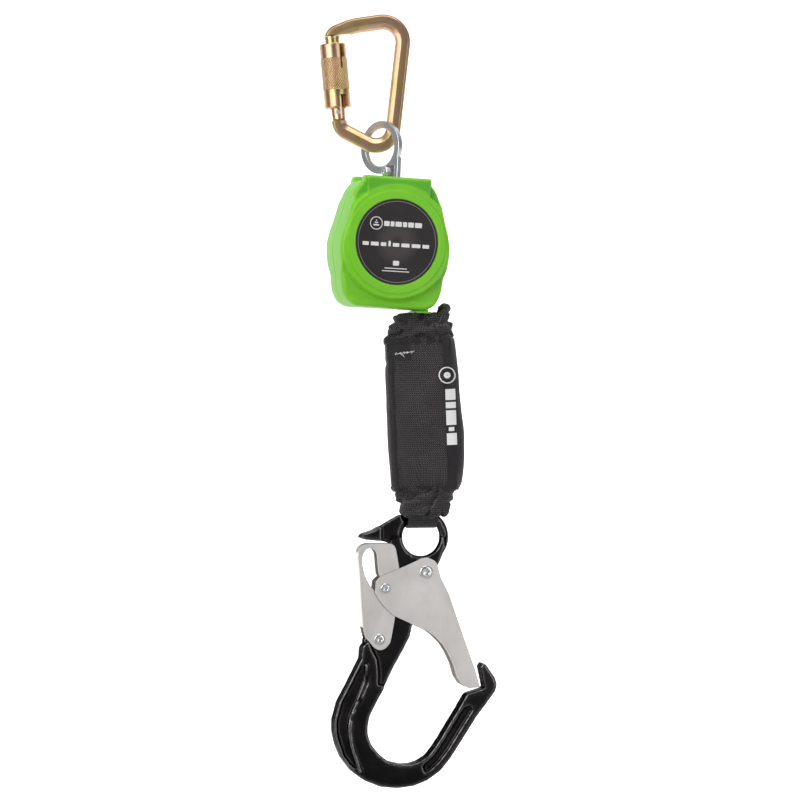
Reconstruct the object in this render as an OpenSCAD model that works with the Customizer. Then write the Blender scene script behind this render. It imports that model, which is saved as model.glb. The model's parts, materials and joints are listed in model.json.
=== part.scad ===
// Self retracting lifeline: a steel carabiner, a swivel eye, a plastic housing with a webbing drum,
// a fabric energy absorber and a wide scaffold hook. Millimetres. X right, Y away from the viewer,
// Z up. The origin is the inside top of the carabiner bow, where the unit hangs.

/* [Carabiner] */
// Diameter of the carabiner bar
bar_d = 12; // [11:0.5:12]
// Outside diameter of the locking sleeve
sleeve_d = 21.5; // [19:0.5:23]
// Length of the locking sleeve
sleeve_len = 53; // [48:0.5:54]

/* [Swivel eye] */
// Radius of the hole in the eye
eye_hole_r = 15.4; // [14.8:0.1:15.6]
// Outer radius of the eye
eye_r = 21.7; // [20.5:0.1:22.5]
// Thickness of the eye plate
eye_t = 4.4; // [4:0.2:4.4]

/* [Housing] */
// Radius of the round boss on the housing
boss_r = 47.5; // [46:0.5:50]
// Full depth of the housing over both bosses
housing_depth = 48; // [47:0.5:54]
// Wall thickness of the housing shells
shell_wall = 2.5; // [2:0.1:2.6]
// Radius of the round labels
label_r = 34.7; // [28:0.1:38]
// Rotation of the housing about its swivel as it hangs
housing_yaw = 17.6; // [16:0.1:19]

/* [Drum] */
// Width of the lifeline webbing
web_w = 17; // [14:0.5:17]
// Thickness of the lifeline webbing
web_t = 1.3; // [1:0.05:1.3]
// Radius of the drum hub
hub_r = 11; // [10:0.5:12]
// Radius of the drum flanges
flange_r = 33; // [31:0.5:33]
// Turns of webbing left on the drum at rest
coil_turns = 10; // [8:1:11]

/* [Energy absorber] */
// Width of the fabric cover
cover_w = 57; // [52:0.5:58]
// Length of the fabric cover
cover_len = 127; // [118:0.5:128]
// Thickness of the filled cover
cover_depth = 31; // [27:0.5:34]

/* [Hook] */
// Radius of the hole in the hook's ring
ring_hole_r = 15.4; // [15.2:0.1:16]
// Half thickness of the forged hook bow
bow_half = 8.5; // [8:0.1:9.5]
// Sheet thickness of the gate and the lever
sheet = 1.5; // [1.2:0.1:1.5]
// Rotation of the hook about its vertical as it hangs
hook_yaw = 12; // [10:0.5:14]

/* [Display] */
// Sub-part to draw

/* [Hidden] */
$fa = 5;
$fs = 0.6;

gold = [0.74, 0.58, 0.32];
zinc = [0.78, 0.81, 0.83];
steel = [0.70, 0.71, 0.72];
dark_steel = [0.35, 0.36, 0.38];
brass = [0.80, 0.65, 0.35];
green = [0.42, 0.76, 0.12];
label_black = [0.14, 0.13, 0.14];
web_black = [0.10, 0.10, 0.11];
web_red = [0.55, 0.10, 0.10];
satin = [0.76, 0.74, 0.71];
hook_black = [0.10, 0.10, 0.11];
thread_white = [0.92, 0.92, 0.90];

// ---- carabiner ----
bar_r = bar_d / 2;
gate_hinge = [-31.6, -67.5];
gate_lean = 5;
nose_elbow = [-37.2, -3.7];
bow_left = [-20, 3.2];
bow_right = [23.4, 9.4];
base_right = [10.9, -102.4];
base_left = [-30.4, -80.9];
gate_up = [-sin(gate_lean), cos(gate_lean)];
hinge_shoulder = gate_hinge - 7.1 * gate_up;
gate_top = (nose_elbow - gate_hinge) * gate_up - 1.7;
sleeve_from = 3.4;
gate_rod_r = 6;
sleeve_bore_r = gate_rod_r + 0.08;
hinge_pin_r = 2;

// ---- swivel eye ----
swivel_foot = [12, -12, -118];
roll = 2.75;
eye_yaw = -44;
eye_c = [-12.9, 21.2];
eye_soft = 1.2;
neck_half = 8.4;
post_r = 4.5;
eye_screw_at = [-4.6, 1.4];

// ---- housing ----
axis_drop = 57;
half_depth = housing_depth / 2;
body_half = half_depth - 4.5;
inner_half = half_depth - shell_wall;
body_side = [
    [29, 50], [35, 44], [37, 38.5], [42.5, 17], [43.5, 0],
    [43, -28], [41.5, -44], [37.5, -50.5], [30, -54]
];
tab_half = 28.5;
tab_top = 53.5;
valley_half = 10.5;
mouth = [29.7, -0.6];
screw_at = [[28, 41], [-28, 41], [35, -42], [-35, -42]];

// ---- drum stack, along the housing's own depth ----
spool_half = 10.5;
flange_t = 1.5;
plate_t = 2.5;
gap = 0.5;
front_plate_y = -spool_half - gap - plate_t;
ratchet_y = spool_half + gap;
ratchet_t = 4.5;
rear_plate_y = ratchet_y + ratchet_t;
case_y = -half_depth + shell_wall + 0.5;
shaft_r = 4;
bush_r = 6;
coil_r = hub_r + 1.5 * coil_turns;
strap_x = coil_r + 0.35 + web_t / 2;
teeth = 10;
tooth_tip_r = 31;
tooth_root_r = 34.5;
ratchet_r = 37.6;
chassis_r = 39;
pawl_pivot_r = 18;
spacer_r = 36.3;
spacer_angles = [30, 150, 210, 285];

// ---- absorber ----
pack_lean = -2.2;
pack_top = -250.5;
cover_wall = 1.6;

// ---- hook ----
ring_drop = -415.3;
ring_bar_r = 3.9;
ring_r = ring_hole_r + ring_bar_r;
neck_y = 5.5;
lever_in = neck_y + 0.3;
gate_in = lever_in + sheet + 0.3;
pivot_a = [2.5, -28.5];
slot_b = [-31.5, -41.5];
pivot_c = [-36, -83];
lever_ratio = 0.35;
gate_open = 38;
loop_in = 9.8;
loop_t = 2.2;
loop_half = 11.9;

// ================= frames =================
module at_gate() {
    translate([gate_hinge[0], 0, gate_hinge[1]]) rotate([0, -gate_lean, 0]) children();
}

module at_eye() {
    translate(swivel_foot) rotate([0, roll, 0]) rotate([0, 0, eye_yaw]) children();
}

module at_housing() {
    translate(swivel_foot) rotate([0, roll, 0]) rotate([0, 0, housing_yaw])
    translate([0, 0, -axis_drop]) children();
}

drum_centre = swivel_foot - axis_drop * [sin(roll), 0, cos(roll)];

module at_strap() {
    translate(drum_centre) rotate([0, 0, housing_yaw]) translate([strap_x, 0, 0]) children();
}

strap_line = [
    drum_centre[0] + strap_x * cos(housing_yaw),
    drum_centre[1] + strap_x * sin(housing_yaw)
];

module at_pack() {
    translate([strap_line[0], strap_line[1], pack_top]) rotate([0, pack_lean, 0]) children();
}

module at_hook() {
    translate([35.8, strap_line[1], ring_drop]) rotate([0, 0, hook_yaw]) children();
}

// ================= shared shapes =================
// A flat outline drawn in X and Z, solid from depth y0 to y1.
module slab(y0, y1) {
    translate([0, y1, 0]) rotate([90, 0, 0]) linear_extrude(y1 - y0) children();
}

// A round pin along Y.
module pin(at, r, y0, y1) {
    translate([at[0], y0, at[1]]) rotate([-90, 0, 0]) cylinder(h = y1 - y0, r = r);
}

// A pin with a short cone at each end.
module headed_pin(at, r, head_r, head_h, y0, y1) {
    pin(at, r, y0, y1);
    pin(at, head_r, y1, y1 + head_h * 0.6);
    translate([at[0], y1 + head_h * 0.6, at[1]]) rotate([-90, 0, 0])
    cylinder(h = head_h * 0.4, r1 = head_r, r2 = head_r * 0.7);
    pin(at, head_r, y0 - head_h * 0.6, y0);
    translate([at[0], y0 - head_h * 0.6, at[1]]) rotate([90, 0, 0])
    cylinder(h = head_h * 0.4, r1 = head_r, r2 = head_r * 0.7);
}

function way(a, b) = (b - a) / norm(b - a);
function turning(a, b, c) = acos(way(a, b) * way(b, c));
function cut_back(a, b, c, r) = r * tan(turning(a, b, c) / 2);

module rod(a, b, d) {
    v = b - a;
    translate([a[0], 0, a[1]]) rotate([0, atan2(v[0], v[1]), 0]) cylinder(h = norm(v), d = d);
}

// A round bar bent round corner b of the line a-b-c, with centreline radius r.
module elbow(a, b, c, r, d) {
    u = way(a, b);
    w = way(b, c);
    side = sign(u[0] * w[1] - u[1] * w[0]);
    s = b - cut_back(a, b, c, r) * u;
    o = s + side * r * [-u[1], u[0]];
    a0 = atan2(s[1] - o[1], s[0] - o[0]);
    sweep = turning(a, b, c);
    translate([o[0], 0, o[1]]) rotate([90, 0, 0])
    rotate([0, 0, side > 0 ? a0 : a0 - sweep])
    rotate_extrude(angle = sweep) translate([r, 0]) circle(d = d);
}

// Flat rings stacked along Y: a close-wound coil of wire.
module coil(at, r, wire_r, y0, turns) {
    for (i = [0 : turns - 1])
        translate([at[0], y0 + (2 * i + 1) * wire_r, at[1]]) rotate([90, 0, 0])
        rotate_extrude() translate([r, 0]) circle(r = wire_r);
}

// ================= carabiner =================
bow_bend = 16.4;
base_bend = 14;
base_left_bend = 11;
bow_left_bend = 40;
lap = 0.5;

module carabiner_bar() {
    p = [hinge_shoulder, base_left, base_right, bow_right, bow_left, nose_elbow];
    r = [0, base_left_bend, base_bend, bow_bend, bow_left_bend, 0];
    for (i = [1 : 4]) elbow(p[i - 1], p[i], p[i + 1], r[i], bar_d);
    for (i = [0 : 4]) {
        u = way(p[i], p[i + 1]);
        lead = i == 0 ? 0 : cut_back(p[i - 1], p[i], p[i + 1], r[i]) - lap;
        trail = i == 4 ? 0 : cut_back(p[i], p[i + 1], p[i + 2], r[i + 1]) - lap;
        rod(p[i] + lead * u, p[i + 1] - trail * u, bar_d - 0.05);
    }
    translate([nose_elbow[0], 0, nose_elbow[1]]) sphere(d = bar_d);
}

module carabiner_frame() {
    color(gold) difference() {
        union() {
            difference() {
                carabiner_bar();
                at_gate() translate([-15, -15, gate_top - 13.1]) cube([30, 30, 14]);
            }
            hinge_tongue();
            nose_key();
        }
        pin(gate_hinge, hinge_pin_r + 0.03, -20, 20);
    }
}

// The flat tongue on the lower bend that carries the gate.
module hinge_tongue() {
    at_gate() slab(-2.4, 2.4) union() {
        circle(r = 5.2);
        translate([-5.2, -9]) square([10.4, 9]);
    }
}

module nose_key() {
    at_gate() slab(-1.7, 1.7)
    polygon([
        [-3, gate_top + 1], [3, gate_top + 1], [1.2, gate_top - 1.6], [2.4, gate_top - 4.8],
        [-2.8, gate_top - 4.8], [-1.6, gate_top - 1.6]
    ]);
}

module carabiner_gate_pin() {
    color(steel) pin(gate_hinge, hinge_pin_r, -5.6, 5.6);
}

module carabiner_gate() {
    color(gold) at_gate() difference() {
        union() {
            cylinder(h = gate_top - 1.4, r = gate_rod_r);
            translate([0, 0, gate_top - 1.4]) cylinder(h = 1.4, r = gate_rod_r + 0.4);
            intersection() {
                slab(-6, 6) circle(r = gate_rod_r);
                translate([0, 0, -7]) cylinder(h = 20, r = gate_rod_r);
            }
        }
        slab(-2.7, 2.7) union() {
            circle(r = 6.2);
            translate([-9, -9]) square([18, 9]);
            translate([-9, 0]) square([9, 6.2]);
        }
        pin([0, 0], hinge_pin_r + 0.05, -20, 20);
        slab(-2.1, 2.1) translate([-9, gate_top - 6.4]) square([12.6, 10]);
    }
}

module locking_sleeve() {
    top = sleeve_from + sleeve_len;
    color(gold) at_gate() difference() {
        translate([0, 0, sleeve_from]) union() {
            cylinder(h = 1, r1 = sleeve_d / 2 - 0.8, r2 = sleeve_d / 2);
            translate([0, 0, 1]) cylinder(h = 14, d = sleeve_d);
            translate([0, 0, 15]) cylinder(h = 26, d = sleeve_d - 0.3);
            translate([0, 0, 41]) cylinder(h = sleeve_len - 42, d = sleeve_d);
            translate([0, 0, sleeve_len - 1])
            cylinder(h = 1, r1 = sleeve_d / 2, r2 = sleeve_d / 2 - 0.8);
        }
        translate([0, 0, sleeve_from - 1]) cylinder(h = sleeve_len + 2, r = sleeve_bore_r);
        translate([0, 0, sleeve_from + 14]) cylinder(h = 27, r = sleeve_bore_r + 2.1);
        rotate([0, 0, -45]) translate([4, -2.2, top - 11.5]) cube([12, 4.4, 20]);
        rotate([0, 0, -56]) translate([4, -1, top - 21]) cube([12, 2, 12]);
        rotate([0, 0, -62]) translate([4, -3, sleeve_from - 2]) cube([12, 6, 13]);
    }
}

module sleeve_spring() {
    color(steel) at_gate()
    for (i = [0 : 7])
        translate([0, 0, sleeve_from + 17 + 3 * i])
        rotate_extrude() translate([gate_rod_r + 1.1, 0]) circle(r = 0.6, $fn = 16);
}

// ================= swivel eye =================
module swivel_eye() {
    color(zinc) at_eye() difference() {
        slab(-eye_t / 2, eye_t / 2) difference() {
            union() {
                translate(eye_c) circle(r = eye_r);
                translate([-neck_half, -7]) square([2 * neck_half, 20]);
                translate([-neck_half - 6, 0.4]) square([10, 10]);
            }
            translate(eye_c) circle(r = eye_hole_r);
            translate([-4.5, -8]) square([9.5, 14.2]);
        }
        for (s = [-1, 1]) translate([eye_c[0], s * (eye_t / 2 - eye_soft), eye_c[1]])
            rotate([s * -90, 0, 0]) cylinder(h = eye_soft + 0.01, r1 = eye_hole_r, r2 = eye_hole_r + eye_soft);
        pin(eye_screw_at, 2.05, -9, 9);
    }
}

module swivel_post() {
    color(steel) at_eye() difference() {
        union() {
            translate([-4.4, -eye_t / 2 + 0.2, -4]) cube([9.3, eye_t - 0.4, 10.1]);
            translate([0, 0, -6.4]) cylinder(h = 3, r = post_r - 0.3);
            translate([0, 0, -20]) cylinder(h = 14, r = post_r);
        }
        pin(eye_screw_at, 2.05, -9, 9);
    }
}

module eye_screw() {
    color(steel) at_eye() {
        pin(eye_screw_at, 2, -eye_t / 2, eye_t / 2 + 3.4);
        difference() {
            union() {
                pin(eye_screw_at, 3.8, -eye_t / 2 - 1.4, -eye_t / 2);
                translate([eye_screw_at[0], -eye_t / 2 - 1.4, eye_screw_at[1]]) rotate([90, 0, 0])
                cylinder(h = 0.8, r1 = 3.8, r2 = 2.8);
            }
            translate([eye_screw_at[0], -eye_t / 2 - 2.2, eye_screw_at[1]]) for (a = [0, 90])
                rotate([0, a, 0]) cube([3.6, 2, 0.9], center = true);
        }
    }
}

module eye_screw_nut() {
    color(steel) at_eye()
    slab(eye_t / 2, eye_t / 2 + 3) translate(eye_screw_at) difference() {
        circle(r = 3.8, $fn = 6);
        circle(r = 2.05);
    }
}

module swivel_washer() {
    color(brass) at_eye() translate([0, 0, -18.4]) difference() {
        cylinder(h = 1, r = 8);
        translate([0, 0, -1]) cylinder(h = 3, r = post_r + 0.05);
    }
}

module swivel_nut() {
    color(steel) at_eye() translate([0, 0, -22.4]) difference() {
        cylinder(h = 4, r = 7.6, $fn = 6);
        translate([0, 0, 2.4]) cylinder(h = 3, r = post_r + 0.02);
        translate([0, 0, -1]) cylinder(h = 4, r = 2);
    }
}

// ================= housing =================
function mirrored(side) = concat(side, [for (i = [len(side) - 1 : -1 : 0]) [-side[i][0], side[i][1]]]);
function shrunk(side, t) = [for (p = side) [p[0] - t, p[1] - t * sign(p[1]) * (abs(p[1]) > 40 ? 1 : 0)]];

module body_outline(t) {
    polygon(mirrored(shrunk(body_side, t)));
}

module tab_outline(t) {
    polygon([
        [-tab_half + t, 30], [tab_half - t, 30], [tab_half - t, tab_top - 2 - t],
        [tab_half - 2 - t, tab_top - t], [-tab_half + 2 + t, tab_top - t],
        [-tab_half + t, tab_top - 2 - t]
    ]);
}

module boss_solid(r, y0, y1) {
    pin([0, 0], r, y0, y1 - 1.5);
    translate([0, y1 - 1.5, 0]) rotate([-90, 0, 0]) cylinder(h = 1.5, r1 = r, r2 = r - 1.5);
}

// One moulded half, drawn for the rear; the front half is its mirror image.
module shell_half() {
    difference() {
        shell_with_bosses();
        translate([mouth[0] - 3.6, -12, -60]) cube([7.2, 24, 16]);
    }
}

module shell_with_bosses() {
    difference() {
        union() {
            slab(0, body_half) body_outline(0);
            boss_solid(boss_r, 0, half_depth);
            slab(valley_half, half_depth) tab_outline(0);
        }
        slab(-1, inner_half - 4.5) body_outline(shell_wall);
        pin([0, 0], boss_r - shell_wall, -1, inner_half);
        slab(-1, inner_half) translate([-17, 30]) square([34, 17.4]);
        pin([0, 0], label_r + 0.2, half_depth - 0.6, half_depth + 1);
        translate([0, 0, 30]) cylinder(h = 40, r = post_r + 0.8);
        translate([0, 0, tab_top]) cylinder(h = 9, r = 10.2, center = true);
    }
    for (p = screw_at) difference() {
        slab(0, body_half - 1) intersection() {
            body_outline(1);
            translate(p) circle(r = 4.6);
        }
        pin(p, 1.3, -1, 12);
    }
}

module front_shell() {
    color(green) at_housing() difference() {
        mirror([0, 1, 0]) shell_half();
        for (p = screw_at) pin(p, 1.5, -14, 1);
    }
}

module rear_shell() {
    color(green) at_housing() difference() {
        shell_half();
        for (p = screw_at) {
            pin(p, 1.7, -1, 30);
            pin(p, 3.3, 15, 30);
        }
    }
}

module label_disc(y0) {
    at_housing() pin([0, 0], label_r, y0, y0 + 0.5);
}

module front_label() {
    color(label_black) label_disc(-half_depth + 0.1);
}

module rear_label() {
    color(label_black) label_disc(half_depth - 0.6);
}

module shell_screws() {
    color(dark_steel) at_housing() for (p = screw_at) {
        pin(p, 1.45, -12, 15);
        difference() {
            pin(p, 2.9, 15, 17.2);
            pin(p, 1.4, 16.2, 18);
        }
    }
}

// Smooth lips round the slot where the webbing leaves.
module web_guide() {
    color(green) at_housing() translate([mouth[0], 0, 0]) difference() {
        union() {
            translate([-3.5, -11.8, -54.6]) cube([7, 23.6, 9.4]);
            translate([-5.4, -13, -56]) cube([10.8, 26, 1.6]);
        }
        translate([-1.9, -9.9, -60]) cube([3.8, 19, 20]);
    }
}

module chassis_outline() {
    circle(r = chassis_r);
    translate([-16, 0]) square([32, 46]);
}

module chassis_plate(y0, bore) {
    slab(y0, y0 + plate_t) difference() {
        chassis_outline();
        circle(r = bore);
        for (a = spacer_angles) rotate(a) translate([spacer_r, 0]) circle(r = 1.6);
        for (x = [-12, 12]) translate([x, 42.6]) circle(r = 1.6);
    }
}

module front_chassis_plate() {
    color(steel) at_housing() chassis_plate(front_plate_y, 7.4);
}

module rear_chassis_plate() {
    color(steel) at_housing() chassis_plate(rear_plate_y, shaft_r + 0.02);
}

module chassis_bridge() {
    color(steel) at_housing() difference() {
        translate([-16, -11, 39.7]) cube([32, 26.5, 6]);
        translate([0, 0, 30]) cylinder(h = 30, r = post_r + 0.08);
        for (x = [-12, 12]) pin([x, 42.6], 1.6, -20, 20);
    }
}

module chassis_spacers() {
    color(steel) at_housing() slab(front_plate_y + plate_t, ratchet_y)
    for (a = spacer_angles) rotate(a) translate([spacer_r, 0]) difference() {
        circle(r = 2.6);
        circle(r = 1.6);
    }
}

module chassis_rivets() {
    color(dark_steel) at_housing() {
        for (a = spacer_angles)
            headed_pin([spacer_r * cos(a), spacer_r * sin(a)], 1.5, 2.4, 1.2,
                front_plate_y, rear_plate_y + plate_t);
        for (x = [-12, 12])
            headed_pin([x, 42.6], 1.5, 2.4, 1.2, front_plate_y, rear_plate_y + plate_t);
    }
}

module drum_shaft() {
    color(dark_steel) at_housing() difference() {
        pin([0, 0], shaft_r, -half_depth + 5, 20.8);
        for (y = [-half_depth + 5.6, rear_plate_y + plate_t + 0.3]) difference() {
            pin([0, 0], shaft_r + 1, y, y + 0.9);
            pin([0, 0], shaft_r - 0.6, y - 1, y + 2);
        }
    }
}

module shaft_clips() {
    color(dark_steel) at_housing()
    for (y = [-half_depth + 5.65, rear_plate_y + plate_t + 0.35])
        slab(y, y + 0.8) difference() {
            circle(r = shaft_r + 1.6);
            circle(r = shaft_r - 0.55);
            rotate(45) square([10, 10]);
        }
}

module ratchet_ring() {
    color(steel) at_housing() slab(ratchet_y, ratchet_y + ratchet_t) difference() {
        circle(r = ratchet_r);
        difference() {
            circle(r = tooth_root_r);
            for (i = [0 : teeth - 1]) rotate(360 / teeth * i)
                polygon([
                    [tooth_tip_r, -1.6], [tooth_tip_r, 1.2], [tooth_root_r + 1, 4.6],
                    [tooth_root_r + 1, -2.6]
                ]);
        }
        for (a = spacer_angles) rotate(a) translate([spacer_r, 0]) circle(r = 1.6);
    }
}

module spring_case() {
    color(dark_steel) at_housing() difference() {
        pin([0, 0], 33, case_y, front_plate_y);
        pin([0, 0], 31.4, case_y + 1.2, front_plate_y + 1);
    }
}

spring_turns = 6;
spring_in = 8.6;
spring_out = 30.6;
function spiral(n, r0, r1, turns, w) = [
    for (i = [0 : n]) let (a = 360 * turns * i / n, r = r0 + (r1 - r0) * i / n)
        [(r + w) * cos(a), (r + w) * sin(a)]
];
function back(list) = [for (i = [len(list) - 1 : -1 : 0]) list[i]];

module power_spring() {
    color(dark_steel) at_housing() slab(case_y + 1.7, front_plate_y - 0.5)
    polygon(concat(
        spiral(24 * spring_turns, spring_in, spring_out - 0.8, spring_turns, 0.7),
        back(spiral(24 * spring_turns, spring_in, spring_out - 0.8, spring_turns, 0))
    ));
}

module drum_spool() {
    color(dark_steel) at_housing() difference() {
        union() {
            pin([0, 0], flange_r, -spool_half, -spool_half + flange_t);
            pin([0, 0], hub_r - 0.1, -spool_half, spool_half);
            pin([0, 0], flange_r, spool_half - flange_t, spool_half);
        }
        pin([0, 0], bush_r + 0.02, -20, 20);
        for (a = [0, 180]) pin([pawl_pivot_r * cos(a), pawl_pivot_r * sin(a)], 1.55, 8, 12);
        for (a = [45 : 90 : 315]) pin([22 * cos(a), 22 * sin(a)], 4, -12, -8);
    }
}

module drum_bushes() {
    color(brass) at_housing() slab(-spool_half, spool_half) difference() {
        circle(r = bush_r);
        circle(r = shaft_r + 0.06);
    }
}

module spring_arbor() {
    color(steel) at_housing() slab(case_y + 3.7, -spool_half) difference() {
        circle(r = 6.6);
        circle(r = shaft_r + 0.6);
    }
}

module wound_lifeline() {
    turns = coil_turns;
    color(web_black) at_housing() slab(-web_w / 2, web_w / 2)
    polygon(concat(
        spiral(24 * turns, hub_r, coil_r - web_t, turns, web_t),
        back(spiral(24 * turns, hub_r, coil_r - web_t, turns, 0))
    ));
}

module pawl_pins() {
    color(steel) at_housing() for (a = [0, 180])
        pin([pawl_pivot_r * cos(a), pawl_pivot_r * sin(a)], 1.5, spool_half - flange_t, 15);
}

module pawl_springs() {
    color(steel) at_housing() for (a = [0, 180]) rotate([0, -a, 0])
        slab(spool_half, spool_half + 1.4) translate([pawl_pivot_r - 7.6, 0]) {
            translate([0, -4]) square([0.6, 12]);
            translate([0, -4]) square([2.6, 0.6]);
        }
}

module pawl() {
    slab(spool_half + 0.4, spool_half + 4.4) translate([pawl_pivot_r, 0]) difference() {
        rotate(60) union() {
            circle(r = 4);
            polygon([[-1, 3.8], [15, 2.2], [15.5, -2], [-1, -3.8]]);
        }
        circle(r = 1.55);
    }
}

module pawl_1() {
    color(dark_steel) at_housing() pawl();
}

module pawl_2() {
    color(dark_steel) at_housing() rotate([0, 180, 0]) pawl();
}

// ================= lifeline and absorber =================
module lifeline_strap() {
    color(web_black) at_strap()
    translate([-web_t / 2, -web_w / 2, -84]) cube([web_t, web_w, 82]);
}

module cushion(w, d, r) {
    translate([-w / 2 + r, -d / 2]) square([w - 2 * r, d]);
    translate([-w / 2, -d / 2 + r]) square([w, d - 2 * r]);
    for (x = [-1, 1], y = [-1, 1]) translate([x * (w / 2 - r), y * (d / 2 - r)]) circle(r = r);
}

module absorber_cover() {
    color(web_black) at_pack() translate([0, 0, -cover_len]) linear_extrude(cover_len)
    difference() {
        cushion(cover_w, cover_depth, 12);
        cushion(cover_w - 2 * cover_wall, cover_depth - 2 * cover_wall, 12 - cover_wall);
    }
}

module cover_flap() {
    color(web_black) at_pack() translate([0, 0, -cover_len + 2]) linear_extrude(cover_len - 4)
    difference() {
        intersection() {
            cushion(cover_w + 2.2, cover_depth + 2.2, 13.1);
            translate([cover_w / 2 - 11, -30]) square([30, 60]);
        }
        cushion(cover_w, cover_depth, 12);
    }
}

// Gathered cloth at one end of the cover: a tube with soft folds in its rim.
module ruffle(h, w, d, folds) {
    linear_extrude(h) difference() {
        union() {
            cushion(w, d, 8);
            for (i = [0 : folds - 1])
                translate([-w / 2 + 6 + (w - 12) * i / (folds - 1), 0]) for (s = [-1, 1])
                    translate([0, s * (d / 2 - 1.4)]) circle(r = 3);
        }
        cushion(w - 7, d - 7, 4.5);
    }
}

module top_ruffle() {
    color(web_black) at_pack() translate([0, 0, 0]) ruffle(17, 44, 24, 6);
}

module bottom_ruffle() {
    color(web_black) at_pack() translate([-2.6, 0, -cover_len - 6.6]) ruffle(6.6, 40, 25, 6);
}

fold_t = 2.2;
module tear_webbing() {
    folds = 8;
    color(web_red) at_pack() slab(-11, 11) translate([0, -cover_len / 2])
    for (i = [0 : folds - 1]) {
        translate([-23 + i * 2 * (fold_t + 0.4), -42]) square([fold_t, 84]);
        translate([-23 + i * 2 * (fold_t + 0.4), i % 2 == 0 ? 42 - fold_t : -42])
        square([i == folds - 1 ? fold_t : 2 * (fold_t + 0.4) + 0.1, fold_t]);
    }
}

module webbing_stitches() {
    color(thread_white) at_pack() for (x = [16.5, 20.5]) for (i = [0 : 13])
        translate([x, -11.6, -cover_len / 2 - 39 + 6 * i]) cube([0.8, 0.6, 3.6]);
}

module upper_loop() {
    color(web_black) at_pack() difference() {
        translate([-web_w / 2 - 1, -6, -19]) cube([web_w + 2, 12, 10]);
        translate([-20, -3.6, -16]) cube([40, 7.2, 4.4]);
    }
}

module lower_loop() {
    color(web_black) {
        at_hook() translate([0, 0, ring_r]) {
            rotate([0, -90, 0]) translate([0, 0, -loop_half]) rotate([0, 0, 90])
            rotate_extrude(angle = 180) translate([loop_in, 0]) square([loop_t, 2 * loop_half]);
            for (s = [-1, 1]) translate([-loop_half, s > 0 ? loop_in : -loop_in - loop_t, 0])
                cube([2 * loop_half, loop_t, 9]);
            translate([-loop_half, -loop_in - loop_t, 9])
            cube([2 * loop_half, 2 * (loop_in + loop_t), loop_t]);
        }
        at_pack() translate([-12, -1.1, -133.6]) cube([18, 2.2, 28.1]);
    }
}

// ================= hook =================
bow_outer = [
    [-45, -84.5], [-50, -88.5], [-51, -98.5], [-62, -120], [-69.5, -134], [-73.5, -148.5],
    [-73.5, -158], [-71, -169], [-66.5, -179.5], [-58.5, -190], [-48.5, -197.5], [-35, -203],
    [-21, -204.5], [-7.5, -203], [3.5, -199], [15, -191], [23, -181.5], [31, -169.5],
    [46, -146.5], [51.5, -139.5], [61, -127], [62.5, -121.5], [61, -116], [53.5, -105],
    [51, -103.4], [48.6, -106.5]
];
bow_inner = [
    [52.5, -124.2], [38, -128.5], [36.5, -130], [31, -139.5], [23, -152], [15, -165],
    [9, -173.5], [4.5, -179], [-3, -183.5], [-9.5, -185.3], [-16.5, -185.5], [-28.5, -182.5],
    [-36.5, -176], [-43, -168], [-45.5, -160], [-45.5, -153], [-44, -145], [-37.5, -132.5],
    [-31, -121]
];
bow_step = [[-37, -120], [-36.5, -111], [-37.5, -99.5], [-39.5, -95.5]];
neck_outline = [
    [-37.5, -121], [-31, -121], [-24, -106.5], [-16.5, -93.5], [-10, -81], [-8, -72],
    [1.5, -54], [5.5, -40], [9, -30], [12.5, -25], [16, -18], [20, -8], [18, 0], [-18, 0],
    [-25, -2.5], [-27, -8], [-27, -48], [-40, -66], [-46, -76], [-48.5, -84.5], [-47, -92],
    [-44, -100]
];
horn_outline = [
    [-17, 19], [-28, 13], [-40, 6], [-49.5, 3], [-51.5, 0.5], [-48.5, -1.5], [-32.5, -3],
    [-22, -6], [-14, 10]
];
pocket_left = [
    [-51, -103], [-60, -120.5], [-67.5, -134.5], [-71, -148.5], [-71, -158], [-68.5, -168.5],
    [-64.5, -178.5], [-57, -187.5], [-53.5, -186.5], [-58, -175], [-60.5, -162.5],
    [-61, -153], [-58, -142], [-50.5, -129], [-45.5, -118], [-46.5, -106.5]
];
pocket_right = [
    [3, -193], [13, -184.5], [21.5, -173.5], [31, -158.5], [42, -141.5], [39.5, -138],
    [34, -140.5], [26, -153.5], [17.5, -167], [10, -178], [0, -187]
];

module hook_bow() {
    difference() {
        slab(-bow_half, bow_half) polygon(concat(bow_outer, bow_inner, bow_step));
        for (s = [-1, 1]) slab(s > 0 ? bow_half - 2.6 : -bow_half - 1, s > 0 ? bow_half + 1 : 2.6 - bow_half) {
            polygon(pocket_left);
            polygon(pocket_right);
        }
        slab(-2, 2) polygon([[46.5, -107], [52.5, -104], [55, -121], [50, -121]]);
    }
}

module hook_body() {
    color(hook_black) at_hook() difference() {
        union() {
            hook_bow();
            slab(-neck_y, neck_y) difference() {
                polygon(neck_outline);
                circle(r = ring_hole_r + 1);
                translate([0, 23]) square([60, 46], center = true);
            }
            rotate([90, 0, 0]) rotate_extrude() translate([ring_r, 0]) circle(r = ring_bar_r);
            slab(-4.5, 4.5) difference() {
                polygon(horn_outline);
                circle(r = ring_r);
            }
            slab(-9, 9) polygon([
                [-34, 9.4], [-40, 6], [-49.5, 3], [-51.5, 0.5], [-48.5, -1.5], [-34, -2.9]
            ]);
        }
        for (p = [pivot_a, pivot_c]) pin(p, 2.55, -20, 20);
        pin(pivot_a, 6.2, -2.6, 2.6);
        pin(pivot_c, 6.2, -2.6, 2.6);
    }
}

module gate_pivot_rivet() {
    color(steel) at_hook() headed_pin(pivot_a, 2.5, 5.6, 1.6, -gate_in - sheet - 0.1, gate_in + sheet + 0.1);
}

module lever_pivot_rivet() {
    color(steel) at_hook() headed_pin(pivot_c, 2.5, 4.5, 1.4, -lever_in - sheet - 0.1, lever_in + sheet + 0.1);
}

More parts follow.
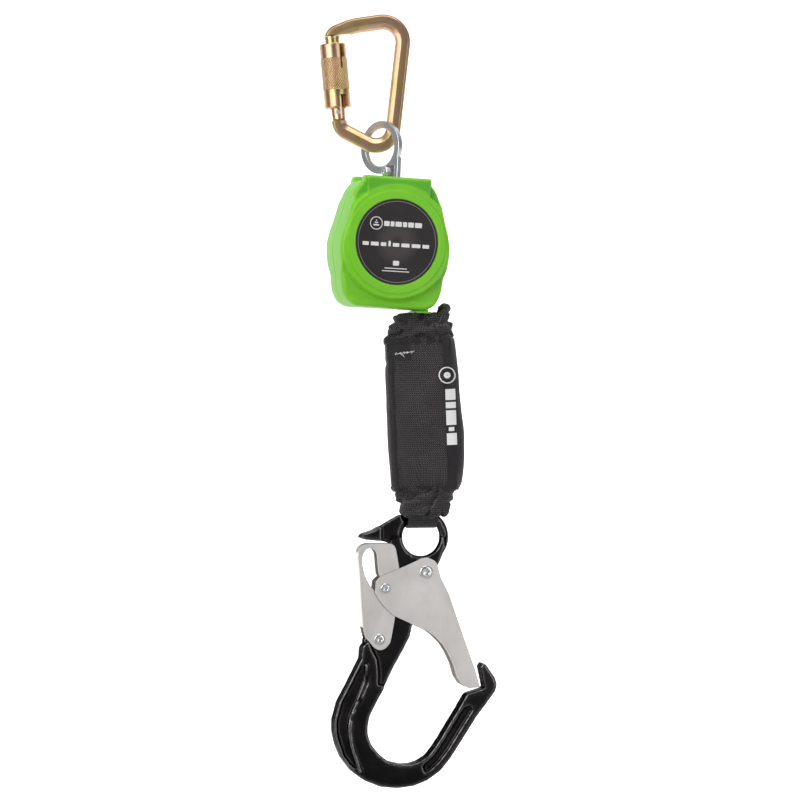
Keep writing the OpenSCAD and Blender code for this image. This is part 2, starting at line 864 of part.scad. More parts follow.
module gate_slot_rivet() {
    color(steel) at_hook() headed_pin(slot_b, 2.4, 4.3, 1.6, -gate_in - sheet, gate_in + sheet);
}

gate_outline = [
    [-39, -35.5], [-35.5, -32], [-0.5, -17], [4, -16.5], [9.5, -19], [12, -22], [15, -33],
    [22, -47], [31.5, -74.5], [43, -106.5], [47.8, -123], [38.5, -124], [32.5, -120.5],
    [28.5, -114.5], [25.5, -104], [21, -94.5], [16.5, -87.5], [9.5, -80.5], [4, -76.5],
    [-8.5, -71], [-23.5, -64], [-30.5, -58], [-35.5, -52], [-40, -45]
];
gate_spine = [
    [15, -33], [22, -47], [31.5, -74.5], [43, -106.5], [47.8, -123], [46.1, -123],
    [41.4, -106.5], [29.9, -74.5], [20.4, -47], [13.4, -33]
];

module hook_gate() {
    color(satin) at_hook() difference() {
        union() {
            for (s = [-1, 1]) slab(s > 0 ? gate_in : -gate_in - sheet, s > 0 ? gate_in + sheet : -gate_in)
                polygon(gate_outline);
            slab(-gate_in - 0.1, gate_in + 0.1) polygon(gate_spine);
        }
        pin(pivot_a, 2.56, -20, 20);
        pin(slot_b, 2.42, -20, 20);
    }
}

lever_outline = [
    [-53, -10], [-49.5, -6], [-45, -4.5], [-25.5, -5], [-22.5, -8], [-21, -16], [-19.5, -25.5],
    [-23, -65], [-25.5, -79], [-27, -86], [-31, -90.5], [-36, -92], [-40.5, -89.5],
    [-43.8, -85.4], [-47.5, -81.5], [-49.5, -73], [-51, -50.5], [-52.5, -27], [-53.5, -16]
];
lever_spine = [
    [-53.3, -12], [-53.5, -16], [-52.5, -27], [-51, -50.5], [-49.5, -73], [-48, -73],
    [-49.5, -50.5], [-51, -27], [-52, -16], [-51.8, -12]
];

// Place of the slot rivet as the lever sees it, when the gate has turned by t degrees.
function turned(p, o, t) = o + [
    (p[0] - o[0]) * cos(t) + (p[1] - o[1]) * sin(t),
    -(p[0] - o[0]) * sin(t) + (p[1] - o[1]) * cos(t)
];
function slot_at(t) = turned(turned(slot_b, pivot_a, t), pivot_c, -lever_ratio * t);

module groove(a, b, d) {
    v = b - a;
    translate(a) circle(d = d);
    translate(b) circle(d = d);
    translate(a) rotate(atan2(v[1], v[0])) translate([0, -d / 2]) square([norm(v), d]);
}

module lever_slot() {
    steps = 6;
    for (i = [0 : steps - 1])
        groove(slot_at(gate_open / steps * i), slot_at(gate_open / steps * (i + 1)), 5.8);
    groove([-44.6, -14.5], [-45, -27], 8);
}

module hook_lock_lever() {
    color(satin) at_hook() difference() {
        union() {
            for (s = [-1, 1]) slab(s > 0 ? lever_in : -lever_in - sheet, s > 0 ? lever_in + sheet : -lever_in)
                polygon(lever_outline);
            slab(-lever_in - 0.1, lever_in + 0.1) polygon(lever_spine);
        }
        slab(-20, 20) lever_slot();
        pin(pivot_c, 2.56, -20, 20);
    }
}

module gate_spring() {
    color(steel) at_hook() coil(pivot_a, 4.2, 0.6, -2.4, 4);
}

module lever_spring() {
    color(steel) at_hook() coil(pivot_c, 4.2, 0.6, -2.4, 4);
}

// ================= drawing =================
carabiner_frame();
carabiner_gate_pin();
carabiner_gate();
locking_sleeve();
sleeve_spring();
swivel_eye();
swivel_post();
eye_screw();
eye_screw_nut();
swivel_washer();
swivel_nut();
front_shell();
rear_shell();
front_label();
rear_label();
shell_screws();
web_guide();
front_chassis_plate();
rear_chassis_plate();
chassis_bridge();
chassis_spacers();
chassis_rivets();
drum_shaft();
shaft_clips();
ratchet_ring();
spring_case();
power_spring();
drum_spool();
drum_bushes();
spring_arbor();
wound_lifeline();
pawl_pins();
pawl_springs();
pawl_1();
pawl_2();
lifeline_strap();
absorber_cover();
cover_flap();
top_ruffle();
bottom_ruffle();
tear_webbing();
webbing_stitches();
upper_loop();
lower_loop();
hook_body();
gate_pivot_rivet();
lever_pivot_rivet();
gate_spring();
lever_spring();
hook_gate();
gate_slot_rivet();
hook_lock_lever();
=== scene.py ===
# Self retracting lifeline: the looks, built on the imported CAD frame. Lengths are millimetres in the
# frame of part.scad, and make_mesh turns them into metres. The camera, lights and backdrop are in metres.
import json
import math

import bmesh
import bpy
import numpy as np
from mathutils import Matrix, Vector, noise
from mathutils.bvhtree import BVHTree

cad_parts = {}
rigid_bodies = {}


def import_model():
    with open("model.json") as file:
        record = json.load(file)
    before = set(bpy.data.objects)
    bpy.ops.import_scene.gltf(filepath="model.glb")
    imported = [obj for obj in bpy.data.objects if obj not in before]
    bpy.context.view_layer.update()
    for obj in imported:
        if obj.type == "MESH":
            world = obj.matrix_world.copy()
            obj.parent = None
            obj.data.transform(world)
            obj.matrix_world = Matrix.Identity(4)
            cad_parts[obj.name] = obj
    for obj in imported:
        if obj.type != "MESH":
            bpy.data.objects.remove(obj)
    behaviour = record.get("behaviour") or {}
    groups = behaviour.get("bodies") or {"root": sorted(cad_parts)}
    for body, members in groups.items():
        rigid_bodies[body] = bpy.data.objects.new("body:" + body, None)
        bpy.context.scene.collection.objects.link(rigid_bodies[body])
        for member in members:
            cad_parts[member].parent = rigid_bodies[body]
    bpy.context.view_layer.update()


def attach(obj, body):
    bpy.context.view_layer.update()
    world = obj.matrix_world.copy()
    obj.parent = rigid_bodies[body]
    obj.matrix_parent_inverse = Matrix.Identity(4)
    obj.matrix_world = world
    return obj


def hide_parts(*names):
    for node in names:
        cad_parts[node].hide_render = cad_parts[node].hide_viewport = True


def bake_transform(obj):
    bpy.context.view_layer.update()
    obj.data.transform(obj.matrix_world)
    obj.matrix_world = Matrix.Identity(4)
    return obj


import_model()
scene = bpy.context.scene
MM = 0.001

# ---------------------------------------------------------------- camera and light
VIEW_CENTRE = Vector((0.0189, 0, -0.3032))
VIEW_WIDTH = 0.656
CAMERA_BACK = 2.6
SENSOR = 36
LIT_POINT = (0.02, 0, -0.3)


def place_and_aim(obj, at, target):
    scene.collection.objects.link(obj)
    obj.location = at
    obj.rotation_euler = (Vector(target) - obj.location).to_track_quat("-Z", "Y").to_euler()


def area_light(name, at, size, power):
    data = bpy.data.lights.new(name, "AREA")
    data.shape = "RECTANGLE"
    data.size, data.size_y = size
    data.energy = power
    place_and_aim(bpy.data.objects.new(name, data), at, LIT_POINT)


def studio_world(strength, *stops):
    """A grey sky that gets paler upwards. Each stop is (height, colour)."""
    world = bpy.data.worlds.new("studio")
    scene.world = world
    world.use_nodes = True
    tree = world.node_tree
    where = tree.nodes.new("ShaderNodeTexCoord")
    split = tree.nodes.new("ShaderNodeSeparateXYZ")
    ramp = tree.nodes.new("ShaderNodeValToRGB")
    background = tree.nodes["Background"]
    tree.links.new(where.outputs["Generated"], split.inputs[0])
    tree.links.new(split.outputs["Z"], ramp.inputs[0])
    tree.links.new(ramp.outputs[0], background.inputs["Color"])
    background.inputs["Strength"].default_value = strength
    for element, (height, colour) in zip(ramp.color_ramp.elements, stops):
        element.position = height
        element.color = (*colour, 1)


cam_data = bpy.data.cameras.new("camera")
cam_data.sensor_width = SENSOR
cam_data.lens = SENSOR * CAMERA_BACK / VIEW_WIDTH
cam_data.clip_end = 50
cam = bpy.data.objects.new("camera", cam_data)
place_and_aim(cam, VIEW_CENTRE - Vector((0, CAMERA_BACK, 0)), VIEW_CENTRE)
scene.camera = cam

area_light("key_left", (-1.15, -1.9, 0.5), (1.1, 1.5), 26)
area_light("strip_left", (-1.5, -1.0, -0.25), (0.16, 1.7), 7)
area_light("strip_right", (1.25, -1.7, -0.2), (0.10, 1.7), 3)
area_light("fill_right", (1.7, -1.5, -0.1), (0.8, 1.4), 8)
area_light("top", (0.1, -0.5, 1.3), (1.4, 0.9), 15)
area_light("front_low", (0.5, -2.3, -0.62), (1.6, 0.2), 0.8)
studio_world(0.5, (0.0, (0.19, 0.19, 0.19)), (0.75, (0.60, 0.61, 0.64)))

scene.view_settings.view_transform = "Standard"
scene.view_settings.look = "None"
scene.view_settings.exposure = 0
scene.view_settings.gamma = 1


# ---------------------------------------------------------------- frames of part.scad
def rot(axis, deg):
    return Matrix.Rotation(math.radians(deg), 4, axis)


def shift(x, y, z):
    return Matrix.Translation((x, y, z))


HINGE = Vector((-31.6, -67.5))  # the carabiner gate's hinge, x and z
GATE_LEAN = 5
EYE_FOOT = (12, -12, -118)
EYE_TO_DRUM = 57
TILT = 2.75
YAW = 17.6
AT_GATE = shift(HINGE.x, 0, HINGE.y) @ rot("Y", -GATE_LEAN)
AT_HOUSING = shift(*EYE_FOOT) @ rot("Y", TILT) @ rot("Z", YAW) @ shift(0, 0, -EYE_TO_DRUM)
AT_STRAP = shift(*AT_HOUSING.translation) @ rot("Z", YAW) @ shift(27, 0, 0)
STRAP = Vector((35.0012, -3.836, 0))  # where the lifeline hangs, x and y
AT_PACK = shift(STRAP.x, STRAP.y, -250.5) @ rot("Y", -2.2)
AT_HOOK = shift(35.8, STRAP.y, -415.3) @ rot("Z", 12)

# ---------------------------------------------------------------- materials
M = {}


class Paint:
    """Builds one procedural material, which goes into M under its name."""

    def __init__(self, name, **sockets):
        M[name] = bpy.data.materials.new(name)
        M[name].use_nodes = True
        self.nt = M[name].node_tree
        self.bsdf = self.nt.nodes["Principled BSDF"]
        for key, value in sockets.items():
            self.bsdf.inputs[key.replace("_", " ").title().replace("Ior", "IOR")].default_value = value
        self.where = self.nt.nodes.new("ShaderNodeTexCoord").outputs["Object"]
        self.height = None

    def node(self, kind, *sources, **props):
        n = self.nt.nodes.new(kind)
        for key, value in props.items():
            if key in n.inputs:
                n.inputs[key].default_value = value
            else:
                setattr(n, key, value)
        for i, source in enumerate(sources):
            if isinstance(source, (int, float)):
                n.inputs[i].default_value = source
            elif source is not None:
                self.nt.links.new(source, n.inputs[i])
        return n

    def math(self, op, a, b=None):
        return self.node("ShaderNodeMath", a, b, operation=op).outputs[0]

    def add(self, a, b):
        return self.math("ADD", a, b)

    def mul(self, a, b):
        return self.math("MULTIPLY", a, b)

    def noise(self, per_mm, detail=3.0, stretch=(1, 1, 1)):
        m = self.node("ShaderNodeMapping", self.where)
        m.inputs["Scale"].default_value = [s * per_mm / MM for s in stretch]
        return self.node("ShaderNodeTexNoise", m.outputs[0], Scale=1.0, Detail=detail).outputs["Fac"]

    def ramp(self, value, *stops):
        r = self.node("ShaderNodeValToRGB", value)
        ramp = r.color_ramp
        while len(ramp.elements) < len(stops):
            ramp.elements.new(0.5)
        for e, (at, colour) in zip(ramp.elements, stops):
            e.position = at
            e.color = (*colour, 1) if hasattr(colour, "__len__") else (colour, colour, colour, 1)
        return r.outputs[0]

    def range(self, value, socket, **ends):
        r = self.node("ShaderNodeMapRange", value)
        for key, end in ends.items():
            r.inputs[key.replace("_", " ").title()].default_value = end
        self.nt.links.new(r.outputs[0], self.bsdf.inputs[socket])

    def rough(self, value, low, high):
        self.range(value, "Roughness", to_min=low, to_max=high)

    def colour(self, value):
        self.nt.links.new(value, self.bsdf.inputs["Base Color"])

    def bump(self, height, depth_mm):
        b = self.node("ShaderNodeBump", Distance=depth_mm * MM)
        self.nt.links.new(height, b.inputs["Height"])
        if self.height is not None:
            self.nt.links.new(self.height, b.inputs["Normal"])
        self.height = b.outputs[0]
        self.nt.links.new(self.height, self.bsdf.inputs["Normal"])

    def mix(self, fac, a, b, kind="MIX"):
        m = self.node("ShaderNodeMix", data_type="RGBA", blend_type=kind)
        for i, v in ((0, fac), (6, a), (7, b)):
            if isinstance(v, bpy.types.NodeSocket):
                self.nt.links.new(v, m.inputs[i])
            else:
                m.inputs[i].default_value = v if i == 0 else (*v, 1)
        return m.outputs[2]


def wear_and_edge_highlight(p, base, edge, amount=0.5):
    """base with edge showing on convex corners: rubbed wear, and a painted highlight along the edges."""
    g = p.node("ShaderNodeNewGeometry")
    rub_and_highlight = p.ramp(g.outputs["Pointiness"], (0.5, 0.0), (0.58, amount))
    return p.mix(rub_and_highlight, base, edge)


def metal(name, tones, rough, grain, scratch, stretch=(1, 1, 1), edge=None):
    p = Paint(name, metallic=1.0)
    base = p.ramp(p.noise(0.045, 3.0), *tones)
    fine = p.noise(grain, 4.0, stretch)
    base = p.mix(0.10, base, p.ramp(fine, (0.3, 0.55), (0.7, 1.0)), "MULTIPLY")
    if edge:
        base = wear_and_edge_highlight(p, base, edge)
    p.colour(base)
    p.rough(p.noise(0.35, 4.0, stretch), *rough)
    p.bump(fine, scratch)


def plastic(name, low, high, edge, rough=(0.34, 0.46), grain=2.2, depth=0.02, recess_shade=None):
    """Moulded or printed plastic. Dark prints reflect less. Where the recess attribute is set, the recess
    colour multiplies in as painted shade.
    """
    p = Paint(name, ior=1.42 if low[1] > 0.1 else 1.33)
    base = p.ramp(p.noise(0.03, 2.0), (0.35, low), (0.65, high))
    if recess_shade:
        shade_mask = p.node("ShaderNodeAttribute", attribute_name="recess_shade").outputs["Fac"]
        base = p.mix(shade_mask, base, p.mix(1.0, base, recess_shade, "MULTIPLY"))
    p.colour(wear_and_edge_highlight(p, base, edge, 0.6))
    p.rough(p.noise(0.25, 3.0), *rough)
    p.bump(p.noise(grain, 2.0), depth)


def anodised(name, low, high, edge):
    p = Paint(name, metallic=1.0, specular_tint=(0.22, 0.22, 0.23, 1))
    base = p.ramp(p.noise(0.05, 3.0), (0.35, low), (0.65, high))
    p.colour(wear_and_edge_highlight(p, base, edge, 0.9))
    p.rough(p.noise(0.3, 4.0), 0.16, 0.28)
    p.bump(p.noise(1.6, 3.0), 0.010)


def cloth(name, low, high, pitch, lean=0.0, depth=0.3, sheen=0.12, half_depth=1, middle=(0, 0)):
    """Woven cloth: threads cross at 45 degrees plus lean, wrapped round a piece whose front faces -Y."""
    p = Paint(name, roughness=0.82, ior=1.35, sheen_weight=sheen, sheen_roughness=0.45)
    where = p.node("ShaderNodeSeparateXYZ", p.where)
    x = p.math("SUBTRACT", where.outputs[0], middle[0] * MM)
    y = p.math("SUBTRACT", where.outputs[1], middle[1] * MM)
    wrap = p.mul(p.math("SIGN", x), p.add(y, half_depth * MM))
    u = p.mul(p.add(x, wrap), math.pi / (pitch * MM))
    v = p.mul(where.outputs[2], math.pi / (pitch * MM))
    u = p.add(u, p.mul(p.noise(0.12, 2.0), 0.8))
    a = p.add(u, p.mul(v, 1.0 + lean))
    b = p.math("SUBTRACT", u, p.mul(v, 1.0 - lean))
    ribs = p.mul(p.math("SINE", a), p.math("SINE", b))
    twill = p.add(p.mul(p.math("SINE", p.mul(b, 2.0)), 0.30), 0.36)
    weave = p.add(p.mul(ribs, 0.34), twill)
    fibre = p.noise(2.5, 3.0)
    tone = p.add(p.mul(weave, 0.75), p.mul(fibre, 0.3))
    base = p.ramp(tone, (0.15, low), (0.9, high))
    patch = p.ramp(p.noise(0.05, 3.0), (0.3, 0.72), (0.7, 1.0))
    p.colour(p.mix(1.0, base, patch, "MULTIPLY"))
    p.rough(fibre, 0.7, 0.9)
    p.bump(weave, depth)
    p.bump(fibre, 0.05)


def pale(name, tone, glow):
    """White paper that glows by itself from a short way behind the object."""
    p = Paint(name, roughness=0.75, emission_color=(1, 1, 1, 1))
    p.colour(p.ramp(p.noise(0.004, 2.0), (0.3, tone), (0.7, tone + 0.02)))
    y = p.node("ShaderNodeSeparateXYZ", p.where).outputs[1]
    p.range(y, "Emission Strength", from_min=0.25, from_max=0.6, to_min=0.0, to_max=glow)


# Each edge colour lightens convex corners, for rubbed wear and a painted highlight.
metal("yellow_zinc", ((0.32, (0.43, 0.32, 0.15)), (0.44, (0.54, 0.37, 0.18)),
                      (0.55, (0.56, 0.34, 0.24)), (0.68, (0.46, 0.33, 0.15))),
      (0.26, 0.36), 0.8, 0.004, edge=(0.80, 0.60, 0.36))
metal("bright_zinc", ((0.35, (0.64, 0.68, 0.71)), (0.65, (0.80, 0.83, 0.85))), (0.26, 0.40), 0.7, 0.015)
metal("steel", ((0.35, (0.55, 0.55, 0.55)), (0.65, (0.74, 0.73, 0.72))), (0.18, 0.34), 1.5, 0.01)
metal("dark_steel", ((0.35, (0.13, 0.13, 0.14)), (0.65, (0.24, 0.24, 0.25))), (0.3, 0.48), 1.0, 0.012)
metal("brass", ((0.35, (0.60, 0.42, 0.17)), (0.65, (0.76, 0.56, 0.26))), (0.25, 0.42), 1.0, 0.01)
metal("gate_steel", ((0.30, (0.62, 0.59, 0.56)), (0.70, (0.76, 0.73, 0.70))), (0.32, 0.50), 0.9, 0.012,
      stretch=(1.6, 1.6, 0.12), edge=(0.8, 0.78, 0.76))
anodised("black_anodised", (0.015, 0.014, 0.0145), (0.025, 0.023, 0.024), (0.26, 0.25, 0.25))
# The recess colour is painted shade, multiplied in on the sunk face outside the boss.
plastic("green_plastic", (0.138, 0.475, 0.004), (0.158, 0.505, 0.006), (0.27, 0.63, 0.04),
        recess_shade=(0.52, 0.76, 0.35))
plastic("label_print", (0.007, 0.005, 0.006), (0.012, 0.009, 0.010), (0.06, 0.05, 0.05),
        (0.3, 0.42), 4.0, 0.006)
plastic("label_ink", (0.52, 0.50, 0.49), (0.62, 0.60, 0.58), (0.7, 0.7, 0.7), (0.4, 0.5), 5.0, 0.004)
plastic("label_ring", (0.09, 0.085, 0.09), (0.13, 0.125, 0.13), (0.2, 0.2, 0.2), (0.35, 0.45), 5.0, 0.004)
plastic("white_print", (0.66, 0.66, 0.65), (0.78, 0.78, 0.77), (0.8, 0.8, 0.8), (0.5, 0.65), 1.2, 0.05)
cloth("cover_fabric", (0.003, 0.0028, 0.003), (0.122, 0.109, 0.114), 1.8, 0.15, 0.7,
      half_depth=15, middle=STRAP)
cloth("cover_smooth", (0.012, 0.010, 0.012), (0.040, 0.036, 0.038), 0.7, 0.0, 0.08,
      half_depth=15, middle=STRAP)
cloth("webbing", (0.010, 0.009, 0.010), (0.055, 0.050, 0.052), 1.5)
cloth("tear_webbing", (0.25, 0.02, 0.015), (0.55, 0.07, 0.05), 1.5)
cloth("white_thread", (0.55, 0.55, 0.53), (0.85, 0.85, 0.83), 0.5, 0.3, 0.08, sheen=0.2)
pale("studio_white", 0.86, 0.9)


# ---------------------------------------------------------------- meshes: a part is (vertices, faces)
def make_mesh(name, verts, faces, place=None, smooth=True):
    """verts are millimetres in the frame `place`, and the mesh comes out in metres in the object's frame."""
    v = np.asarray(verts, float).reshape(-1, 3)
    if place is not None:
        m = np.array(place, float)
        v = v @ m[:3, :3].T + m[:3, 3]
    mesh = bpy.data.meshes.new(name)
    mesh.from_pydata((v * MM).tolist(), [], [tuple(int(i) for i in f) for f in faces])
    mesh.validate()
    bm = bmesh.new()
    bm.from_mesh(mesh)
    bmesh.ops.recalc_face_normals(bm, faces=bm.faces)
    bm.to_mesh(mesh)
    bm.free()
    mesh.polygons.foreach_set("use_smooth", [smooth] * len(mesh.polygons))
    return mesh


def add(name, part, place=None, smooth=True):
    obj = bpy.data.objects.new(name, make_mesh(name, *part, place, smooth))
    scene.collection.objects.link(obj)
    return obj


def paint(obj, mat):
    obj.data.materials.clear()
    obj.data.materials.append(M[mat])


def dress(obj, mat, body, slot, *nodes):
    """Gives a finished piece its material and its body, and hides the CAD nodes that it stands for. slot is
    not used.
    """
    paint(obj, mat)
    if body:
        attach(obj, body)
    if nodes:
        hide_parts(*nodes)


def piece(name, part, place, mat, body, slot, *nodes, smooth=True):
    obj = add(name, part, place, smooth)
    dress(obj, mat, body, slot, *nodes)
    return obj


def all_smooth(obj):
    obj.data.polygons.foreach_set("use_smooth", [True] * len(obj.data.polygons))


def grid_faces(rows, cols, base=0, wrap=True, skip=None):
    out = []
    for i in range(rows - 1):
        for j in range(cols if wrap else cols - 1):
            if skip and skip(i, j):
                continue
            a, b = base + i * cols, base + (i + 1) * cols
            k = (j + 1) % cols
            out.append((a + j, a + k, b + k, b + j))
    return out


def end_caps(rows, cols):
    return [tuple(range(cols)), tuple((rows - 1) * cols + j for j in range(cols))]


def prism_faces(n):
    return end_caps(2, n) + [(i, (i + 1) % n, n + (i + 1) % n, n + i) for i in range(n)]


def circle(r, cols, cx=0.0, cz=0.0):
    turns = [2 * math.pi * j / cols for j in range(cols)]
    return [(cx + r * math.cos(a), cz + r * math.sin(a)) for a in turns]


def lathe(profile, cols=72):
    """(radius, height) pairs turned about Z."""
    v = [(x, y, z) for r, z in profile for x, y in circle(r, cols)]
    f = grid_faces(len(profile), cols)
    caps = end_caps(len(profile), cols)
    f += [cap for cap, (r, _) in zip(caps, (profile[0], profile[-1])) if r > 0]
    return v, f


def rounded(corners, radius, steps=4):
    """A closed outline with its corners rounded. radius is one number, or one for each corner."""
    n, out = len(corners), []
    for i, c in enumerate(corners):
        r = radius[i] if hasattr(radius, "__len__") else radius
        a, b = Vector(corners[i - 1]), Vector(corners[(i + 1) % n])
        c = Vector(c)
        u, w = (a - c).normalized(), (b - c).normalized()
        angle = u.angle(w)
        if r <= 0 or angle > math.pi - 0.02:
            out.append(c)
            continue
        cut_back = min(r / math.tan(angle / 2), (a - c).length * 0.48, (b - c).length * 0.48)
        for s in range(steps + 1):
            t = s / steps
            out.append((c + u * cut_back) * (1 - t) ** 2 + 2 * c * t * (1 - t) + (c + w * cut_back) * t ** 2)
    return [tuple(p) for p in out]


def fillet_path(points, radii, step=1.0):
    """Points of a line through 2-D vertices with filleted corners, and the tangent at each."""
    pts = [Vector(p) for p in points]
    out, tan = [], []

    def push(p, t):
        if not out or (p - out[-1]).length > 0.02:
            out.append(p)
            tan.append(t)

    push(pts[0], (pts[1] - pts[0]).normalized())
    for i in range(1, len(pts) - 1):
        u, w = (pts[i] - pts[i - 1]).normalized(), (pts[i + 1] - pts[i]).normalized()
        turn = u.angle(w)
        r = radii[i]
        start = pts[i] - u * (r * math.tan(turn / 2))
        side = 1 if u.x * w.y - u.y * w.x > 0 else -1
        centre = start + Vector((-u.y, u.x)) * side * r
        line_from = out[-1]
        run = start - line_from
        pieces = int(run.length / (step * 3)) + 1
        for k in range(1, pieces):
            push(line_from + run * k / pieces, u)
        n = max(4, int(r * turn / step))
        for k in range(n + 1):
            by = Matrix.Rotation(side * turn * k / n, 2)
            push(centre + by @ (start - centre), by @ u)
    push(pts[-1], (pts[-1] - pts[-2]).normalized())
    return out, tan


def sweep(section, path, tangents):
    """A closed (across, depth) section carried along a path in the X-Z plane; across is left of travel."""
    v = []
    for p, t in zip(path, tangents):
        left = Vector((-t.y, 0, t.x))
        v += [tuple(Vector((p.x, 0, p.y)) + left * a + Vector((0, 1, 0)) * b) for a, b in section]
    return v, grid_faces(len(path), len(section)) + end_caps(len(path), len(section))


def slab(outline, y0, y1):
    """An outline of (x, z) points, from y0 to y1."""
    return [(p[0], y, p[1]) for y in (y0, y1) for p in outline], prism_faces(len(outline))


def box_part(lo, hi):
    return slab([(lo[0], lo[2]), (hi[0], lo[2]), (hi[0], hi[2]), (lo[0], hi[2])], lo[1], hi[1])


def joined(*parts):
    v, f = [], []
    for pv, pf in parts:
        f += [tuple(len(v) + i for i in face) for face in pf]
        v += list(pv)
    return v, f


def turned(part, m):
    v, f = part
    return [tuple(m @ Vector(p)) for p in v], f


def apply_modifiers(obj):
    dg = bpy.context.evaluated_depsgraph_get()
    dg.update()
    mesh = bpy.data.meshes.new_from_object(obj.evaluated_get(dg))
    obj.modifiers.clear()
    obj.data = mesh


def cut(obj, cutter_parts, place, solver="EXACT"):
    """Takes the joined closed cutters out of obj."""
    tool = add("cutter", joined(*cutter_parts), place, smooth=False)
    m = obj.modifiers.new("cut", "BOOLEAN")
    m.operation = "DIFFERENCE"
    m.solver = solver
    m.object = tool
    apply_modifiers(obj)
    bpy.data.objects.remove(tool)


def sharpen(obj, degrees):
    """Marks edges sharper than this, so that smooth shading breaks there."""
    bm = bmesh.new()
    bm.from_mesh(obj.data)
    limit = math.radians(degrees)
    for e in bm.edges:
        if len(e.link_faces) == 2:
            e.smooth = e.calc_face_angle(0) < limit
    bm.to_mesh(obj.data)
    bm.free()


def edge_bevel(obj, width, angle):
    b = obj.modifiers.new("edge", "BEVEL")
    b.width = width * MM
    b.segments = 2
    b.limit_method = "ANGLE"
    b.angle_limit = math.radians(angle)


def bevel(obj, width, angle=35):
    """Bevelled edges, with flat faces that keep flat shading."""
    edge_bevel(obj, width, angle)
    n = obj.modifiers.new("normals", "WEIGHTED_NORMAL")
    n.keep_sharp = True
    n.weight = 80


# ---------------------------------------------------------------- floor and backdrop
def backdrop():
    """A floor that bends up into a wall, far enough back that a camera behind the object stays inside."""
    near, wall, bend, floor, top, half_width = -14.0, 15.0, 1.2, -2.1, 26.0, 35
    rows = [(near, floor), (wall - bend, floor)]
    for deg in range(10, 91, 8):
        a = math.radians(deg)
        rows.append((wall - bend + bend * math.sin(a), floor + bend - bend * math.cos(a)))
    rows.append((wall, top))
    v = [(x / MM, y / MM, z / MM) for y, z in rows for x in (-half_width, half_width)]
    f = [(2 * i, 2 * i + 1, 2 * i + 3, 2 * i + 2) for i in range(len(rows) - 1)]
    obj = add("backdrop", (v, f))
    paint(obj, "studio_white")


backdrop()


# ---------------------------------------------------------------- carabiner frame
def carabiner_frame():
    lean = math.radians(GATE_LEAN)
    up = Vector((-math.sin(lean), math.cos(lean)))
    nose = Vector((-37.2, -3.7))
    points = [HINGE - up * 7.1, (-30.4, -80.9), (10.9, -102.4), (23.4, 9.4), (-20, 3.2), nose, nose - up * 6]
    path, tan = fillet_path(points, [0, 11, 14, 16.4, 40, 6.15, 0], 0.9)
    # Flat on the front and back nearer the outside, with wide bevels towards the inside.
    half = [(-4.4, -5.75), (1.2, -5.75), (4.6, -3.9), (6.1, -1.3)]
    corners = half + [(a, -b) for a, b in reversed(half)] + [(-6.15, 3.9), (-6.15, -3.9)]
    section = rounded(corners, [1.0, 0.7, 1.1, 1.2, 1.2, 1.1, 0.7, 1.0, 2.2, 2.2])
    bar = add("carabiner_bar", sweep(section, path, tan))
    top = (nose - HINGE).dot(up) - 1.7
    cut(bar, [box_part((-15, -15, top - 13.1), (15, 15, top + 0.9))], AT_GATE)
    edge_bevel(bar, 0.5, 50)
    apply_modifiers(bar)
    sharpen(bar, 40)
    dress(bar, "yellow_zinc", "carabiner", "yellow_zinc", "carabiner_frame")
    tongue = circle(5.2, 36)[:19] + [(-5.2, -8.5), (5.2, -8.5)]
    key = [(-3, top + 1), (3, top + 1), (1.2, top - 1.6), (2.4, top - 4.8), (-2.8, top - 4.8),
           (-1.6, top - 1.6)]
    small = piece("carabiner_tongue_and_key", joined(slab(tongue, -2.4, 2.4), slab(key, -1.7, 1.7)), AT_GATE,
                  "yellow_zinc", "carabiner", "yellow_zinc", smooth=False)
    bevel(small, 0.4)


carabiner_frame()


# ---------------------------------------------------------------- locking sleeve
def sleeve_rows(low, top, knurl_from, knurl_to, pitch):
    """Heights of the rows: close at the ends and through the knurl, and wider between."""
    rows = [end + s * e for end, s in ((low, 1), (top, -1)) for e in (0, 0.15, 0.5, 1.0)]
    rows += [low + 1 + 0.7 * i for i in range(1, 20)] + [knurl_from - 0.4, knurl_from - 0.1]
    rows += [knurl_from + pitch / 10 * i for i in range(111)]
    rows += [knurl_to + 0.1, knurl_to + 0.4] + [knurl_to + 0.4 + 0.7 * i for i in range(1, 15)]
    return sorted(set(round(z, 4) for z in rows))


